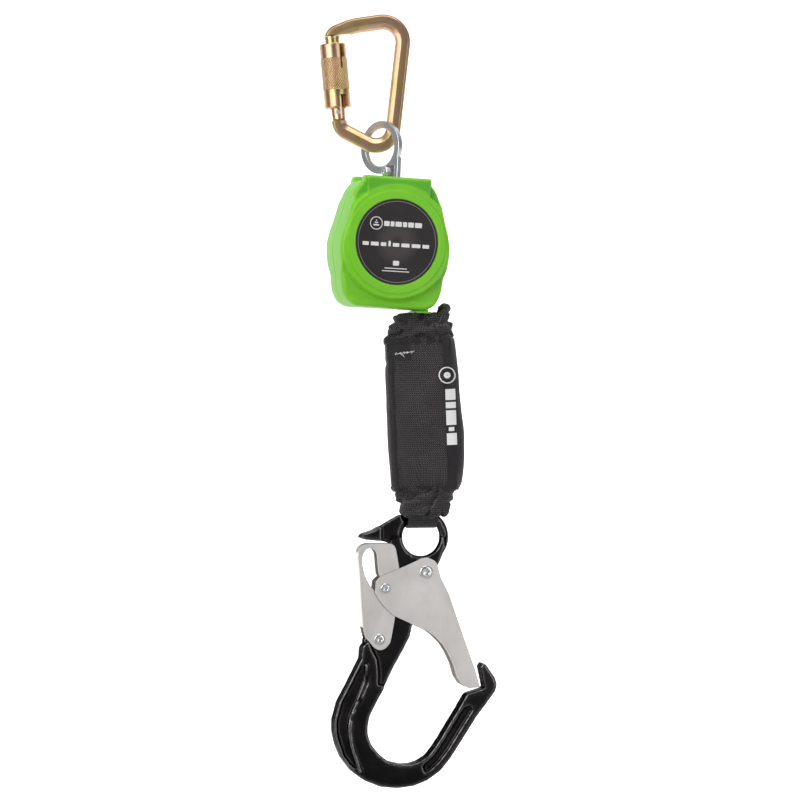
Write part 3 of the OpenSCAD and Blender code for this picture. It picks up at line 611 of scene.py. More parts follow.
def locking_sleeve():
    cols, low, length, radius, bore = 320, 3.4, 53.0, 10.75, 6.75
    round_end, diamonds, pitch, depth = 0.9, 32, 2.364, 0.62
    top, knurl_from, knurl_to = low + length, low + 15, low + 41
    rows = sleeve_rows(low, top, knurl_from, knurl_to, pitch)
    # Each slot is from z, to z, its middle and its half width in degrees.
    slots = ((top - 11.5, top, -45, 12.0), (top - 21, top - 9, -54, 4.0), (low, low + 11, -62, 15.8))

    def outside(z, j):
        end = min(z - low, top - z)
        r = radius
        if end < round_end:
            r -= round_end - math.sqrt(max(0.0, round_end ** 2 - (round_end - end) ** 2))
        if knurl_from <= z <= knurl_to:
            around, along = diamonds * j / cols, (z - knurl_from) / pitch
            du, dw = (abs(t % 1 - 0.5) * 2 for t in (around + along, around - along))
            h = min(1.0, 1.9 * (1 - du)) * min(1.0, 1.9 * (1 - dw))
            fade = min(1.0, min(z - knurl_from, knurl_to - z) / 0.5)
            r += fade * (depth * h - 0.56) - 0.02
        return r

    def in_slot(z, j):
        deg = 360 * j / cols
        return any(z0 <= z <= z1 and abs((deg - c + 180) % 360 - 180) < half for z0, z1, c, half in slots)

    v = []
    for r_of in (outside, lambda z, j: bore):
        for z in rows:
            for j in range(cols):
                a = 2 * math.pi * j / cols
                v.append((r_of(z, j) * math.cos(a), r_of(z, j) * math.sin(a), z))
    n = len(rows)
    inner = n * cols
    gone = [[in_slot((rows[i] + rows[i + 1]) / 2, j + 0.5) for j in range(cols)] for i in range(n - 1)]
    f = grid_faces(n, cols, 0, True, lambda i, j: gone[i][j])
    f += [tuple(reversed(q)) for q in grid_faces(n, cols, inner, True, lambda i, j: gone[i][j])]

    def wall(a, b):
        f.append((a, b, b + inner, a + inner))

    for i in range(n - 1):
        for j in range(cols):
            k = (j + 1) % cols
            if gone[i][j] != gone[i][k]:
                wall(i * cols + k, (i + 1) * cols + k)
            if i + 1 < n - 1 and gone[i][j] != gone[i + 1][j]:
                wall((i + 1) * cols + j, (i + 1) * cols + k)
            for row, rim in ((0, 0), (n - 2, n - 1)):
                if i == row and not gone[i][j]:
                    wall(rim * cols + j, rim * cols + k)
    obj = piece("locking_sleeve_knurled", (v, f), AT_GATE, "yellow_zinc",
                "sleeve", "yellow_zinc", "locking_sleeve")
    bm = bmesh.new()
    bm.from_mesh(obj.data)
    bmesh.ops.delete(bm, geom=[x for x in bm.verts if not x.link_faces], context="VERTS")
    bm.to_mesh(obj.data)
    bm.free()
    sharpen(obj, 50)


locking_sleeve()


# ---------------------------------------------------------------- housing shells
# Half of the body's outline seen from the front, from the top middle round to the bottom middle.
SIDE = [(0, 49.3), (24, 49.3), (29, 49.0), (32.2, 45.6), (35.4, 41), (38.4, 31), (42.0, 16.5), (45.0, 7),
        (46.9, -2), (46.9, -9), (45.8, -18), (43.8, -28), (42.6, -38), (41, -44), (37.5, -50), (30.5, -54),
        (0, -54)]
COLS = 480
TURNS = 2 * np.pi * np.arange(COLS) / COLS
COS, SIN = np.cos(TURNS), np.sin(TURNS)
FLOOR, TOP, WALL = 18.9, 24.0, 2.2
LABEL_R, BOSS_R, EDGE_ROUND = 34.95, 45.2, 3.2


def softened(r, times):
    for _ in range(times):
        r = 0.25 * np.roll(r, 1) + 0.5 * r + 0.25 * np.roll(r, -1)
    return r


def body_radius():
    """The body's outline as a radius for each column, with its corners softened."""
    ring = SIDE + [(-x, z) for x, z in reversed(SIDE[1:-1])]
    radii = []
    for dx, dz in zip(COS, SIN):
        d, best = Vector((dx, dz)), 0
        for start, end in zip(ring, ring[1:] + ring[:1]):
            p = Vector(start)
            e = Vector(end) - p
            den = d.x * e.y - d.y * e.x
            if abs(den) < 1e-9:
                continue
            t = (p.x * e.y - p.y * e.x) / den
            s = (p.x * d.y - p.y * d.x) / den
            if t > 0 and -1e-6 <= s <= 1 + 1e-6:
                best = max(best, t)
        radii.append(best)
    return softened(np.array(radii), 10)


def tab_radius(top, half_width):
    """The radius of the raised tab at the top of the shell, and 0 where there is none."""
    up = np.maximum(SIN, 0.2)
    across = np.maximum(abs(COS), 1e-6)
    return np.where(SIN > 0.2, np.minimum(top / up, half_width / across), 0)


def step(x):
    x = np.clip(x, 0, 1)
    return x * x * (3 - 2 * x)


def ring_row(r, y):
    """One row of a shell. r and y are each one number, or one for each column."""
    return np.stack([r * COS, np.zeros(COLS) + y, r * SIN], 1)


def face_height(r):
    """How far forward the front face stands: floor, boss round the label, tab, and a rim at the bottom."""
    x, z = r * COS, r * SIN
    r = np.hypot(x, z)
    boss = 1 - step((r - BOSS_R) / 3.4)
    tab = (1 - step((abs(x) - 25.9) / 2.6)) * step((z - 26) / 6)
    ledge = 0.55 * (1 - step((r - 41.2) / 1.4))
    rim = 0.7 * step((-z - 44) / 4) * step((r - 47.5) / 2.5)
    up = np.maximum(boss, tab)
    return FLOOR + (TOP - FLOOR - 0.55) * up + ledge * up + rim * (1 - up)


def shell_rows(r_body, r_high):
    """Rows from the label's seat out over the face, round its edge and down the side to the split line."""
    rows = [ring_row(r, TOP - 0.6) for r in (8.0, 20.0, 30.0, LABEL_R - 0.1)]
    rows += [ring_row(LABEL_R + dr, TOP - dy) for dr, dy in ((0, 0.45), (0.1, 0.12), (0.35, 0))]
    inner = r_high - 0.7 - EDGE_ROUND
    boss_from, boss_to = 35.4, 43.6
    last = np.minimum(boss_to, inner - 0.25)
    for r in (36.5, 38, 39.5, 40.6, 41.4, 41.9, 42.4, 43.0, boss_to):
        r = boss_from + (r - boss_from) * (last - boss_from) / (boss_to - boss_from)
        rows.append(ring_row(r, face_height(r)))
    for t in np.linspace(0, 1, 25)[1:]:
        r = last + (inner - last) * t
        rows.append(ring_row(r, face_height(r)))
    edge_h = face_height(inner)
    for deg in (15, 32, 50, 68, 90):
        s, c = math.sin(math.radians(deg)), math.cos(math.radians(deg))
        r = inner + EDGE_ROUND * s
        y = np.minimum(edge_h, face_height(r) * (1 - s) + edge_h * s)
        rows.append(ring_row(r, y - EDGE_ROUND * (1 - c)))
    side_top = rows[-1][:, 1]
    levels = [12.6, 12.2, 11.8, 11.4, 11.0, 10.7, 10.4, 10.0, 9.0, 6.5, 4.0, 2.0, 0.9, 0.55, 0.4, 0.0]

    def draft(y):
        return 0.7 * (y / 20) ** 2

    for t in (0.25, 0.5, 0.75):
        y = side_top + (levels[0] - side_top) * t
        rows.append(ring_row(r_high - draft(y), y))
    for y in levels:
        w = step((y - 10.2) / 2.2)
        groove = 0.35 if y < 0.5 else 0
        rows.append(ring_row(r_body * (1 - w) + r_high * w - draft(y) - groove, y))
    return rows


def mark_recess_shade(obj, r_high):
    """Sets the attribute for painted shade on the face outside the boss and away from its outer edge, which
    takes in the sunk corners; most at the top.
    """

    def ramp(value, start, length, least=0.0):
        return min(1.0, max(least, (value - start) / length))

    back = AT_HOUSING.inverted()
    tone = obj.data.attributes.new("recess_shade", "FLOAT", "POINT")
    for i, vert in enumerate(obj.data.vertices):
        p = back @ (vert.co / MM)
        r = math.hypot(p.x, p.z)
        edge = r_high[int(round(math.atan2(p.z, p.x) / (2 * math.pi) * COLS)) % COLS]
        sunk_shade = ramp(r, 46.6, 1.4) * ramp(edge - 1.6, r, 1.6) * ramp(abs(p.y), 15.5, 1.5)
        tone.data[i].value = sunk_shade * ramp(p.z, -40, 80, 0.15)


def shell(name, side, node):
    """One half of the housing: side is -1 for the front and 1 for the rear."""
    r_body = body_radius()
    r_high = softened(np.maximum(r_body, tab_radius(53.5, 28.5)), 2)
    rows = shell_rows(r_body, r_high)
    verts = np.concatenate(rows + [[[0, TOP - 0.6, 0]]])
    verts[:, 1] *= side
    centre = len(rows) * COLS
    faces = grid_faces(len(rows), COLS) + [(centre, (j + 1) % COLS, j) for j in range(COLS)]
    obj = add(name, (verts, faces), AT_HOUSING)
    # The front of the shell has to face outwards before it gets its wall.
    outwards = AT_HOUSING.to_3x3() @ Vector((0, side, 0))
    if obj.data.polygons[len(faces) - 1].normal.dot(outwards) < 0:
        obj.data.flip_normals()
    wall = obj.modifiers.new("wall", "SOLIDIFY")
    wall.thickness = WALL * MM
    wall.offset = -1
    apply_modifiers(obj)
    post_hole = ([(x, y, z) for z in (30, 70) for x, y in circle(5.3, 48)], prism_faces(48))
    mouth = box_part((26.1, -12, -62), (33.3, 12, -44))
    screw_holes = []
    if side > 0:
        for x, z in ((28, 41), (-28, 41), (35, -42), (-35, -42)):
            screw_holes.append(slab(circle(3.35, 32, x, z), 14.5, 30))
    cut(obj, [post_hole, mouth, *screw_holes], AT_HOUSING, "MANIFOLD")
    # Painted shade on the sunk face, strongest at the top.
    mark_recess_shade(obj, r_high)
    all_smooth(obj)
    sharpen(obj, 42)
    dress(obj, "green_plastic", "housing", "green_plastic", node)


shell("front_shell_moulded", -1, "front_shell")
shell("rear_shell_moulded", 1, "rear_shell")


# ---------------------------------------------------------------- round labels
def flat_ring(cx, cz, r0, r1, y0, y1, cols):
    corners = ((r0, y0), (r0, y1), (r1, y1), (r1, y0))
    v = [(x, y, z) for r, y in corners for x, z in circle(r, cols, cx, cz)]
    last = 3 * cols
    closing = [(last + j, last + (j + 1) % cols, (j + 1) % cols, j) for j in range(cols)]
    return v, grid_faces(4, cols) + closing


def bar_row(x, widths, gap, z0, z1, r, narrow_z1=None):
    """Bars side by side that stand for letters. A narrow one ends at narrow_z1 where that is given."""
    bars = []
    for w in widths:
        bars.append((x, x + w, z0, narrow_z1 if narrow_z1 and w < 3 else z1, r))
        x += w + gap
    return bars


def label(name, side, node):
    """A printed disc with a raised rim. Plain shapes stand where the real label has names and small print."""
    face = 23.9
    prof = [(0, 23.2), (34.6, 23.2), (34.75, 23.35), (34.75, 24.0), (34.5, 24.14), (33.95, 24.14),
            (33.75, 24.0)]
    prof += [(r, face) for r in (33.6, 33.5, 33.2, 28, 20, 8, 0)]
    place = AT_HOUSING @ rot("X", -90 * side)
    disc = piece(name, lathe(prof, 160), place, "label_print", "housing", "label_print", node)
    sharpen(disc, 50)
    y0, y1 = sorted((side * (face - 0.05), side * (face + 0.07)))
    piece(name + "_ring", flat_ring(0, 0, 32.6, 33.15, y0, y1, 160), AT_HOUSING, "label_ring",
          "housing", "label_print", smooth=False)
    bars = [(-20.6, -15.8, 12.2, 13.3, 0.4), (-19.6, -16.8, 14.2, 15.2, 0.4), (-18.6, -17.8, 16.0, 17.0, 0.3)]
    bars += bar_row(-11.6, (4.6, 3.2, 5.4, 3.6, 4.8, 6.0), 0.9, 12.3, 16.3, 0.7)
    bars += bar_row(-29.0, (5.2, 6.6, 4.6, 2.0, 5.4, 7.0, 7.4, 5.6), 1.8, -4.0, -1.0, 0.5, 0.4)
    bars += [(-2.6, 2.6, -19.2, -15.4, 0.9), (-9.5, 9.5, -21.9, -21.2, 0.3), (-11.5, 11.5, -24.2, -23.5, 0.3)]
    marks = [flat_ring(18.2 * side, 14.2, 4.7, 5.3, y0, y1, 72)]
    for x0, x1, z0, z1, r in bars:
        lo, hi = sorted((-x0 * side, -x1 * side))
        marks.append(slab(rounded([(lo, z0), (hi, z0), (hi, z1), (lo, z1)], r), y0, y1))
    piece(name + "_marks", joined(*marks), AT_HOUSING, "label_ink", "housing", "label_print", smooth=False)


label("front_label_face", -1, "front_label")
label("rear_label_face", 1, "rear_label")


# ---------------------------------------------------------------- lifeline strap and loops
def flat_band(centre, across, through, width, thick, edge):
    """A flat strap: points along its middle, with unit vectors across it and through it at each."""
    half, t, steps, bulge = width / 2, thick / 2, 22, 0.25
    sec = [(-half + width * i / steps, t) for i in range(steps + 1)]
    sec = [(a, b - (edge * 0.6 if abs(a) > half - 0.01 else 0.0)) for a, b in sec]
    sec = sec + [(half + bulge, 0)] + [(a, -b) for a, b in reversed(sec)] + [(-half - bulge, 0)]
    v = []
    for c, u, w in zip(centre, across, through):
        v += [tuple(Vector(c) + Vector(u) * a + Vector(w) * b) for a, b in sec]
    return v, grid_faces(len(centre), len(sec)) + end_caps(len(centre), len(sec))


def lifeline():
    zs = [-2 - 1.5 * i for i in range(12)] + [-20 - i for i in range(65)]
    n = len(zs)
    band = flat_band([(0, 0, z) for z in zs], [(0, 1, 0)] * n, [(1, 0, 0)] * n, 17, 1.3, 0.35)
    obj = piece("lifeline_webbing", band, AT_STRAP, "webbing",
                None, "webbing", "lifeline_strap", "upper_loop")
    sharpen(obj, 60)
    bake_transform(obj)


lifeline()


def lower_loop():
    """Two layers of webbing from the pack round the bar of the hook's ring."""
    r, bar_z, layer, spread = 10.9, 19.3, 0.57, 0.12
    pts = [(0, spread * z - r, bar_z + z) for z in range(20, 0, -2)]
    thru = [(0, -1, 0)] * len(pts)
    for k in range(25):
        a = math.pi * k / 24
        pts.append((0, -r * math.cos(a), bar_z - r * math.sin(a)))
        thru.append((0, -math.cos(a), -math.sin(a)))
    for z in range(2, 21, 2):
        pts.append((0, r - spread * z, bar_z + z))
        thru.append((0, 1, 0))
    bands = []
    for off, width in ((layer, 24.4), (-layer, 23.8)):
        line = [Vector(p) + Vector(w) * off for p, w in zip(pts, thru)]
        bands.append(flat_band(line, [(1, 0, 0)] * len(pts), thru, width, 1.05, 0.25))
    obj = piece("lower_loop_webbing", joined(*bands), AT_HOOK, "webbing", "absorber", "webbing", "lower_loop")
    sharpen(obj, 60)


lower_loop()


def tear_webbing():
    """The folded tear webbing inside the pack, one strap laid back and forth."""
    folds, pitch, first, middle, reach = 8, 2.3, -16.1, -63.5, 40.5
    path, tan = [], []
    for i in range(folds):
        x = first + i * 2 * pitch
        way = 1 if i % 2 == 0 else -1
        end = middle + reach * way
        for k in range(14):
            path.append(Vector((x, middle - reach * way + 2 * reach * way * k / 13)))
            tan.append(Vector((0, way)))
        if i < folds - 1:
            for k in range(1, 8):
                a = math.pi * k / 8
                path.append(Vector((x + pitch - pitch * math.cos(a), end + way * 1.5 * math.sin(a))))
                tan.append(Vector((math.sin(a), way * math.cos(a))).normalized())
    sec = [(-1, -9), (1, -9), (1.05, -4), (1.05, 4), (1, 9), (-1, 9), (-1.05, 4), (-1.05, -4)]
    obj = piece("tear_webbing_folds", sweep(sec, path, tan), AT_PACK, "tear_webbing",
                "absorber", "tear_webbing", "tear_webbing")
    sharpen(obj, 50)


tear_webbing()


# ---------------------------------------------------------------- absorber cover
def bag_part(width, depth, length, corner):
    """A closed box-like bag with rounded upright edges and rounded ends, hanging from z = 0."""
    x, y = width / 2, depth / 2
    ring = rounded([(-x, -y), (x, -y), (x, y), (-x, y)], corner, 8)
    rows = [(0.80, -length), (0.93, -length + 0.8), (1.0, -length + 3.0)]
    rows += [(1.0, -length + 3 + (length - 6) * k / 20) for k in range(1, 20)]
    rows += [(1.0, -3.0), (0.94, -0.8), (0.82, 0)]
    v = [(px * (1 - (1 - s) * 0.4), py * s, z) for s, z in rows for px, py in ring]
    return v, grid_faces(len(rows), len(ring)) + end_caps(len(rows), len(ring))


def remesh(obj, size):
    r = obj.modifiers.new("remesh", "REMESH")
    r.mode = "VOXEL"
    r.voxel_size = size * MM
    r.use_smooth_shade = True
    apply_modifiers(obj)


def smooth_mesh(obj, times):
    m = obj.modifiers.new("smooth", "SMOOTH")
    m.iterations = times
    m.factor = 0.5
    apply_modifiers(obj)


def subdivide(obj, levels):
    s = obj.modifiers.new("sub", "SUBSURF")
    s.levels = s.render_levels = levels
    apply_modifiers(obj)


def puff(obj, cap):
    """Fills the bag like air, and keeps each point within `cap` millimetres of where it began."""
    frames = 20
    before = np.array([v.co for v in obj.data.vertices])
    c = obj.modifiers.new("cloth", "CLOTH")
    s = c.settings
    s.quality = 6
    s.mass = 0.3
    s.tension_stiffness = 40
    s.compression_stiffness = 12
    s.shear_stiffness = 8
    s.bending_stiffness = 0.4
    s.use_pressure = True
    s.uniform_pressure_force = 4.0
    s.effector_weights.gravity = 0
    c.point_cache.frame_start = 1
    c.point_cache.frame_end = frames
    for k in range(1, frames + 1):
        scene.frame_set(k)
    settled = obj.evaluated_get(bpy.context.evaluated_depsgraph_get())
    after = np.array([v.co for v in settled.to_mesh().vertices])
    settled.to_mesh_clear()
    obj.modifiers.clear()
    scene.frame_set(1)
    move = after - before
    far = np.linalg.norm(move, axis=1)[:, None]
    move = move * np.minimum(1, cap * MM / np.maximum(far, 1e-9))
    obj.data.vertices.foreach_set("co", (before + move).ravel())
    obj.data.update()


def displace(obj, fn, place):
    """Moves each vertex by fn(point, normal) millimetres along its normal; both are in the frame `place`."""
    inv = place.inverted()
    turn = inv.to_3x3()
    n = len(obj.data.vertices)
    co, no = np.empty(n * 3), np.empty(n * 3)
    obj.data.vertices.foreach_get("co", co)
    obj.data.vertices.foreach_get("normal", no)
    co, no = co.reshape(-1, 3), no.reshape(-1, 3)
    out = co.copy()
    for i in range(n):
        out[i] += no[i] * fn(inv @ (Vector(co[i]) / MM), turn @ Vector(no[i])) * MM
    obj.data.vertices.foreach_set("co", out.ravel())
    obj.data.update()


def ridge(v, at, half):
    return max(0.0, 1 - abs(v - at) / half) ** 2


def wrinkle(p, _):
    """Gathers near both hems, soft dents over the bag, and two long creases across it."""
    top = math.exp(-abs(p.z + 4) / 11)
    low = math.exp(-abs(p.z + 124) / 13)
    at_top = math.sin(p.x * 0.62 + 1.2 * math.sin(p.z * 0.09)) + 0.6 * math.sin(p.x * 1.37 + 0.8)
    at_low = math.sin(p.x * 0.40 - 0.7 + 0.05 * p.z) + 0.7 * math.sin(p.x * 0.83 + 1.9)
    soft = noise.noise(Vector((p.x * 0.045, p.y * 0.05, p.z * 0.022))) * 1.1
    soft += noise.noise(Vector((p.x * 0.13, p.y * 0.13, p.z * 0.05 + 7))) * 0.45
    crease = -1.0 * ridge(p.z + 0.28 * p.x, -30, 4.5) * step((14 - p.x) / 18)
    crease -= 0.8 * ridge(p.z - 0.35 * p.x, -96, 5) * step((p.x + 20) / 16) * step((16 - p.x) / 12)
    return float(0.85 * top * at_top + 0.9 * low * at_low + soft + crease)


def cover():
    obj = add("absorber_cover_cloth", bag_part(56.5, 25.5, 128.5, 9), AT_PACK @ shift(0, 0, 1.0))
    remesh(obj, 4)
    puff(obj, 4.2)
    subdivide(obj, 2)
    displace(obj, wrinkle, AT_PACK)
    # The right side bulges near the bottom.
    to_pack = AT_PACK.inverted()
    for v in obj.data.vertices:
        p = to_pack @ (v.co / MM)
        p.x += 3.4 * max(0.0, p.x / 28) * math.exp(-(((p.z + 92) / 42) ** 2))
        v.co = (AT_PACK @ p) * MM
    all_smooth(obj)
    dress(obj, "cover_fabric", "absorber", "cover_fabric", "absorber_cover")
    bm = bmesh.new()
    bm.from_mesh(obj.data)
    tree = BVHTree.FromBMesh(bm)
    bm.free()
    return tree


bag_tree = cover()


# ---------------------------------------------------------------- strips, hems and stitches on the cover
def on_bag(x_or_angle, z, lift, wrapped=False):
    """A point on the bag: straight in from the front, or in towards its core at an angle when wrapped."""
    if wrapped:
        a = math.radians(x_or_angle)
        way = Vector((-math.cos(a), -math.sin(a), 0))
        start = Vector((16 if math.cos(a) > 0 else -16, 0, z)) - way * 60
    else:
        start, way = Vector((x_or_angle, -80, z)), Vector((0, 1, 0))
    hit, normal, _, _ = bag_tree.ray_cast(AT_PACK @ start * MM, AT_PACK.to_3x3() @ way, 1.0)
    if hit is None:
        return None
    return (hit + normal * lift * MM) / MM


def ribbon(name, columns, lift, thick, node=None):
    """A strip of cloth lying on the bag. Each column is a list of (wrapped, x or angle, z) across it."""
    top, base = [], []
    last = None
    for wrapped, a, z in (point for column in columns for point in column):
        p = on_bag(a, z, lift, wrapped) or last
        top.append(tuple(p))
        base.append(tuple(on_bag(a, z, lift - thick, wrapped) or last))
        last = p
    rows, cols = len(columns), len(columns[0])
    n = rows * cols
    f = grid_faces(rows, cols, 0, False) + [tuple(reversed(q)) for q in grid_faces(rows, cols, n, False)]
    rim = [i * cols for i in range(rows)] + [(rows - 1) * cols + j for j in range(1, cols)]
    rim += [i * cols + cols - 1 for i in range(rows - 2, -1, -1)] + list(range(cols - 2, 0, -1))
    f += [(a, b, n + b, n + a) for a, b in zip(rim, rim[1:] + rim[:1])]
    nodes = [node] if node else []
    obj = piece(name, (top + base, f), None, "cover_smooth", "absorber", "cover_fabric", *nodes)
    sharpen(obj, 50)


def flap():
    """The printed strip that wraps the right side, with its edge on the front."""
    columns, n = [], 90
    for i in range(n + 1):
        z = -2.5 - 122 * i / n
        left, right = 18.2 + 0.25 * math.sin(z * 0.16), 23.5
        column = [(False, left + (right - left) * k / 10, z) for k in range(11)]
        columns.append(column + [(True, a, z) for a in (*range(-72, 73, 6), 80, 88)])
    ribbon("cover_side_strip", columns, 0.75, 0.95, "cover_flap")


def hem(name, z_at, tall, lift=0.8):
    columns = [[(True, a, z_at(a) + tall * (i / 8 - 0.5)) for a in range(-180, 181, 3)] for i in range(9)]
    ribbon(name, columns, lift, lift + 0.4)


def edge_strip(name, z0, z1, x_of, width, lift):
    columns, n = [], max(8, int(abs(z1 - z0) / 1.5))
    for i in range(n + 1):
        z = z0 + (z1 - z0) * i / n
        columns.append([(False, x_of(z) + width * k / 6, z) for k in range(7)])
    ribbon(name, columns, lift, lift + 0.3)


flap()
hem("cover_top_hem", lambda a: -3.6 - 0.5 * math.sin(math.radians(a * 3)), 4.2)
hem("cover_low_hem", lambda a: -124.6 + 0.5 * math.sin(math.radians(a * 4)), 3.6)
edge_strip("cover_left_hem", -6, -122, lambda z: -26.6 + 0.3 * math.sin(z * 0.21), 4.6, 0.55)
edge_strip("cover_tab_left", -6, -20, lambda z: -20.4, 12.0, 0.7)


def stitch(start, end, radius, lift):
    """One thread between two (x, z) points, as a rod that rises a little in its middle."""
    last = 6
    pts = []
    for k in range(last + 1):
        t = k / last
        rise = lift + 0.30 * math.sin(math.pi * t)
        pts.append(on_bag(start[0] + (end[0] - start[0]) * t, start[1] + (end[1] - start[1]) * t, rise))
    if any(p is None for p in pts):
        return None
    v = []
    for k, p in enumerate(pts):
        along = (pts[min(k + 1, last)] - pts[max(k - 1, 0)]).normalized()
        u = along.cross(Vector((0, 1, 0.02))).normalized()
        w = along.cross(u).normalized()
        v += [tuple(p + u * a + w * b) for a, b in circle(radius * (0.55 if k in (0, last) else 1.0), 8)]
    return v, grid_faces(last + 1, 8) + end_caps(last + 1, 8)


def threads(name, pairs, radius, mat, slot, lift):
    rods = [stitch(start, end, radius, lift) for start, end in pairs]
    piece(name, joined(*[rod for rod in rods if rod]), None, mat, "absorber", slot)


def run(x0, z0, x1, z1):
    """A straight run of stitches, as pairs of ends."""
    tall, gap = 2.6, 0.9
    length = math.hypot(x1 - x0, z1 - z0)
    out, at = [], 0.0
    while at + tall <= length + 0.01:
        out.append([(x0 + (x1 - x0) * t / length, z0 + (z1 - z0) * t / length) for t in (at, at + tall)])
        at += tall + gap
    return out


def bartack():
    """A zigzag of white thread with a few loose ends."""
    left, pairs = -20.6, []
    for i in range(15):
        x = left + 1.06 * i
        z = -14.4 + 0.085 * (x - left) + 0.35 * math.sin(i * 2.3)
        pairs.append(((x, z - 0.55), (x + 1.1, z + 0.45)))
        if i % 3 == 1:
            pairs.append(((x + 0.4, z + 0.6), (x - 0.5, z - 1.0 - 0.4 * math.sin(i))))
    loose = [((-14.6, -15.0), (-13.7, -16.8)), ((-14.0, -16.2), (-13.2, -17.6)),
             ((-16.2, -14.8), (-15.0, -15.9))]
    threads("white_bartack", pairs + loose, 0.27, "white_thread", "white_thread", 0.95)


bartack()
seam = run(-23.2, -8, -23.0, -118) + run(19.4, -8, 19.4, -24) + run(19.4, -94, 19.4, -118)
seam += run(-20, -122.6, 20, -122.6) + run(-22, -4.2, 22, -4.2)
threads("cover_seams", seam, 0.26, "cover_smooth", "cover_fabric", 0.85)


# ---------------------------------------------------------------- print on the strip
def ring_marks(cx, cz, r0, r1, n):
    squash, out = 0.97, []
    for k in range(n):
        a, b = 2 * math.pi * k / n, 2 * math.pi * (k + 1) / n
        corners = ((r0, a), (r1, a), (r1, b), (r0, b))
        out.append([(cx + squash * r * math.cos(t), cz + r * math.sin(t)) for r, t in corners])
    return out


def block(x0, x1, z0, z1):
    """One bar in small quads, so that it lies on the curved cloth."""
    n, m = max(2, int(x1 - x0)), max(1, int(z0 - z1))
    xs = [x0 + (x1 - x0) * i / n for i in range(n + 1)]
    zs = [z0 + (z1 - z0) * k / m for k in range(m + 1)]
    return [[(a, c), (b, c), (b, d), (a, d)] for a, b in zip(xs, xs[1:]) for c, d in zip(zs, zs[1:])]


def strip_print():
    """A round mark and plain bars where the real strip has a name, as thin plates on the cloth."""
    marks = ring_marks(20.5, -33.3, 5.9, 6.8, 36) + ring_marks(20.5, -33.3, 0.4, 2.6, 24)
    z, wide, narrow = -44.6, (18.6, 26.4), (20.4, 24.6)
    for tall, (x0, x1) in ((9.0, wide), (5.0, wide), (12.0, wide), (3.2, narrow), (9.6, wide)):
        marks += block(x0, x1, z, z - tall)
        z -= tall + 1.7
    parts = []
    for outline in marks:
        v = [on_bag(x, z, lift) for lift in (1.22, 0.85) for x, z in outline]
        if not any(p is None for p in v):
            parts.append(([tuple(p) for p in v], prism_faces(len(outline))))
    piece("strip_print", joined(*parts), None, "white_print", "absorber", "white_thread", smooth=False)


strip_print()


# ---------------------------------------------------------------- crumpled cloth at the ends of the bag
def loft(rings, n=64):
    """A closed body through rounded-square rings: (centre x, centre y, half width, half depth, height)."""
    power, v = 2.8, []
    for cx, cy, hw, hd, z in rings:
        for c, s in circle(1, n):
            k = (abs(c) ** power + abs(s) ** power) ** (-1 / power)
            v.append((cx + hw * k * c, cy + hd * k * s, z))
    return v, grid_faces(len(rings), n) + end_caps(len(rings), n)


def egg(cx, cy, cz, rx, ry, rz, lean=0.0):
    rings = []
    for k in range(1, 12):
        s, c = math.sin(math.pi * k / 12), math.cos(math.pi * k / 12)
        rings.append((cx - lean * c, cy, rx * s, ry * s, cz - rz * c))
    return loft(rings, 32)


def line_distance(p, line):
    """How far p is from a line of (x, z) points, seen from the front."""
    best = 1e9
    for (ax, az), (bx, bz) in zip(line, line[1:]):
        dx, dz = bx - ax, bz - az
        t = max(0.0, min(1.0, ((p.x - ax) * dx + (p.z - az) * dz) / (dx * dx + dz * dz)))
        best = min(best, math.hypot(p.x - ax - dx * t, p.z - az - dz * t))
    return best


def crumpled(name, parts, folds, seed, node):
    """Gathered cloth: the joined bodies become one skin, pushed out into puffs with sharp creases between.

    Each fold is (from, to, half width, depth) on the front."""
    obj = add(name, joined(*parts), AT_PACK)
    remesh(obj, 1.0)
    smooth_mesh(obj, 3)

    def puffs(p, n):
        q = Vector((p.x * 0.062 + seed, p.y * 0.07, p.z * 0.12 - 0.02 * p.x))
        drift = [noise.noise(q * 0.9 + Vector(off)) for off in ((5, 1, 2), (1, 7, 3))]
        w = Vector((*drift, 0)) * 0.7
        big = abs(noise.noise(q + w))
        mid = abs(noise.noise(q * 2.2 + w + Vector((3, 3, seed))))
        fine = abs(noise.noise(q * 4.7 + Vector((seed, 2, 9))))
        out = 8.2 * (min(big, 0.42) - 0.19) + 2.2 * (min(mid, 0.4) - 0.18) + 0.35 * (fine - 0.18)
        if n.y < 0.4:
            for start, end, half, deep in folds:
                out -= deep * max(0.0, 1 - line_distance(p, [start, end]) / half) ** 1.5
        return out

    displace(obj, puffs, AT_PACK)
    subdivide(obj, 1)
    all_smooth(obj)
    dress(obj, "cover_fabric", "absorber", "cover_fabric", node)


top_body = loft([(0, 0, 24.5, 10.5, -6), (0, 0, 26.2, 11.6, -2), (0.6, 0, 26.6, 12.4, 2.5),
                 (1.3, 0, 24.4, 12.0, 7), (2.0, 0, 22.4, 11.2, 11), (3.4, 0, 19.8, 9.8, 14.4),
                 (4.8, 0, 16.4, 7.4, 16.8), (5, 0, 9, 4, 17.4)])
top_roll = egg(-1.5, -9.0, 6.0, 24.0, 6.0, 4.6, 1.0)
top_puffs = [egg(20.0, 1.0, 15.5, 4.4, 7.0, 9.0, 1.2), egg(-13.5, -3.0, 12.5, 7.0, 7.0, 4.2)]
crumpled("top_ruffle_folds", [top_body, top_roll, *top_puffs],
         [((-24, 1.0), (20, 9.5), 3.2, 3.4), ((2, 16), (14, 4), 3.0, 2.6)], 0.4, "top_ruffle")
low_body = loft([(0, 0, 24.5, 10.8, -123), (-0.2, 0, 24.6, 12.0, -128), (-0.8, 0, 22.6, 13.4, -132),
                 (-1.8, 0, 20.4, 14.6, -137), (-2.4, 0, 18.4, 15.2, -141.5), (-2.8, 0, 15.6, 14.6, -146),
                 (-3.0, 0, 11.4, 12.6, -149)])
low_puffs = [egg(12.6, -2.0, -137, 6.0, 10.0, 10.5), egg(-10.0, -3.0, -138, 9.6, 10.5, 10.5)]
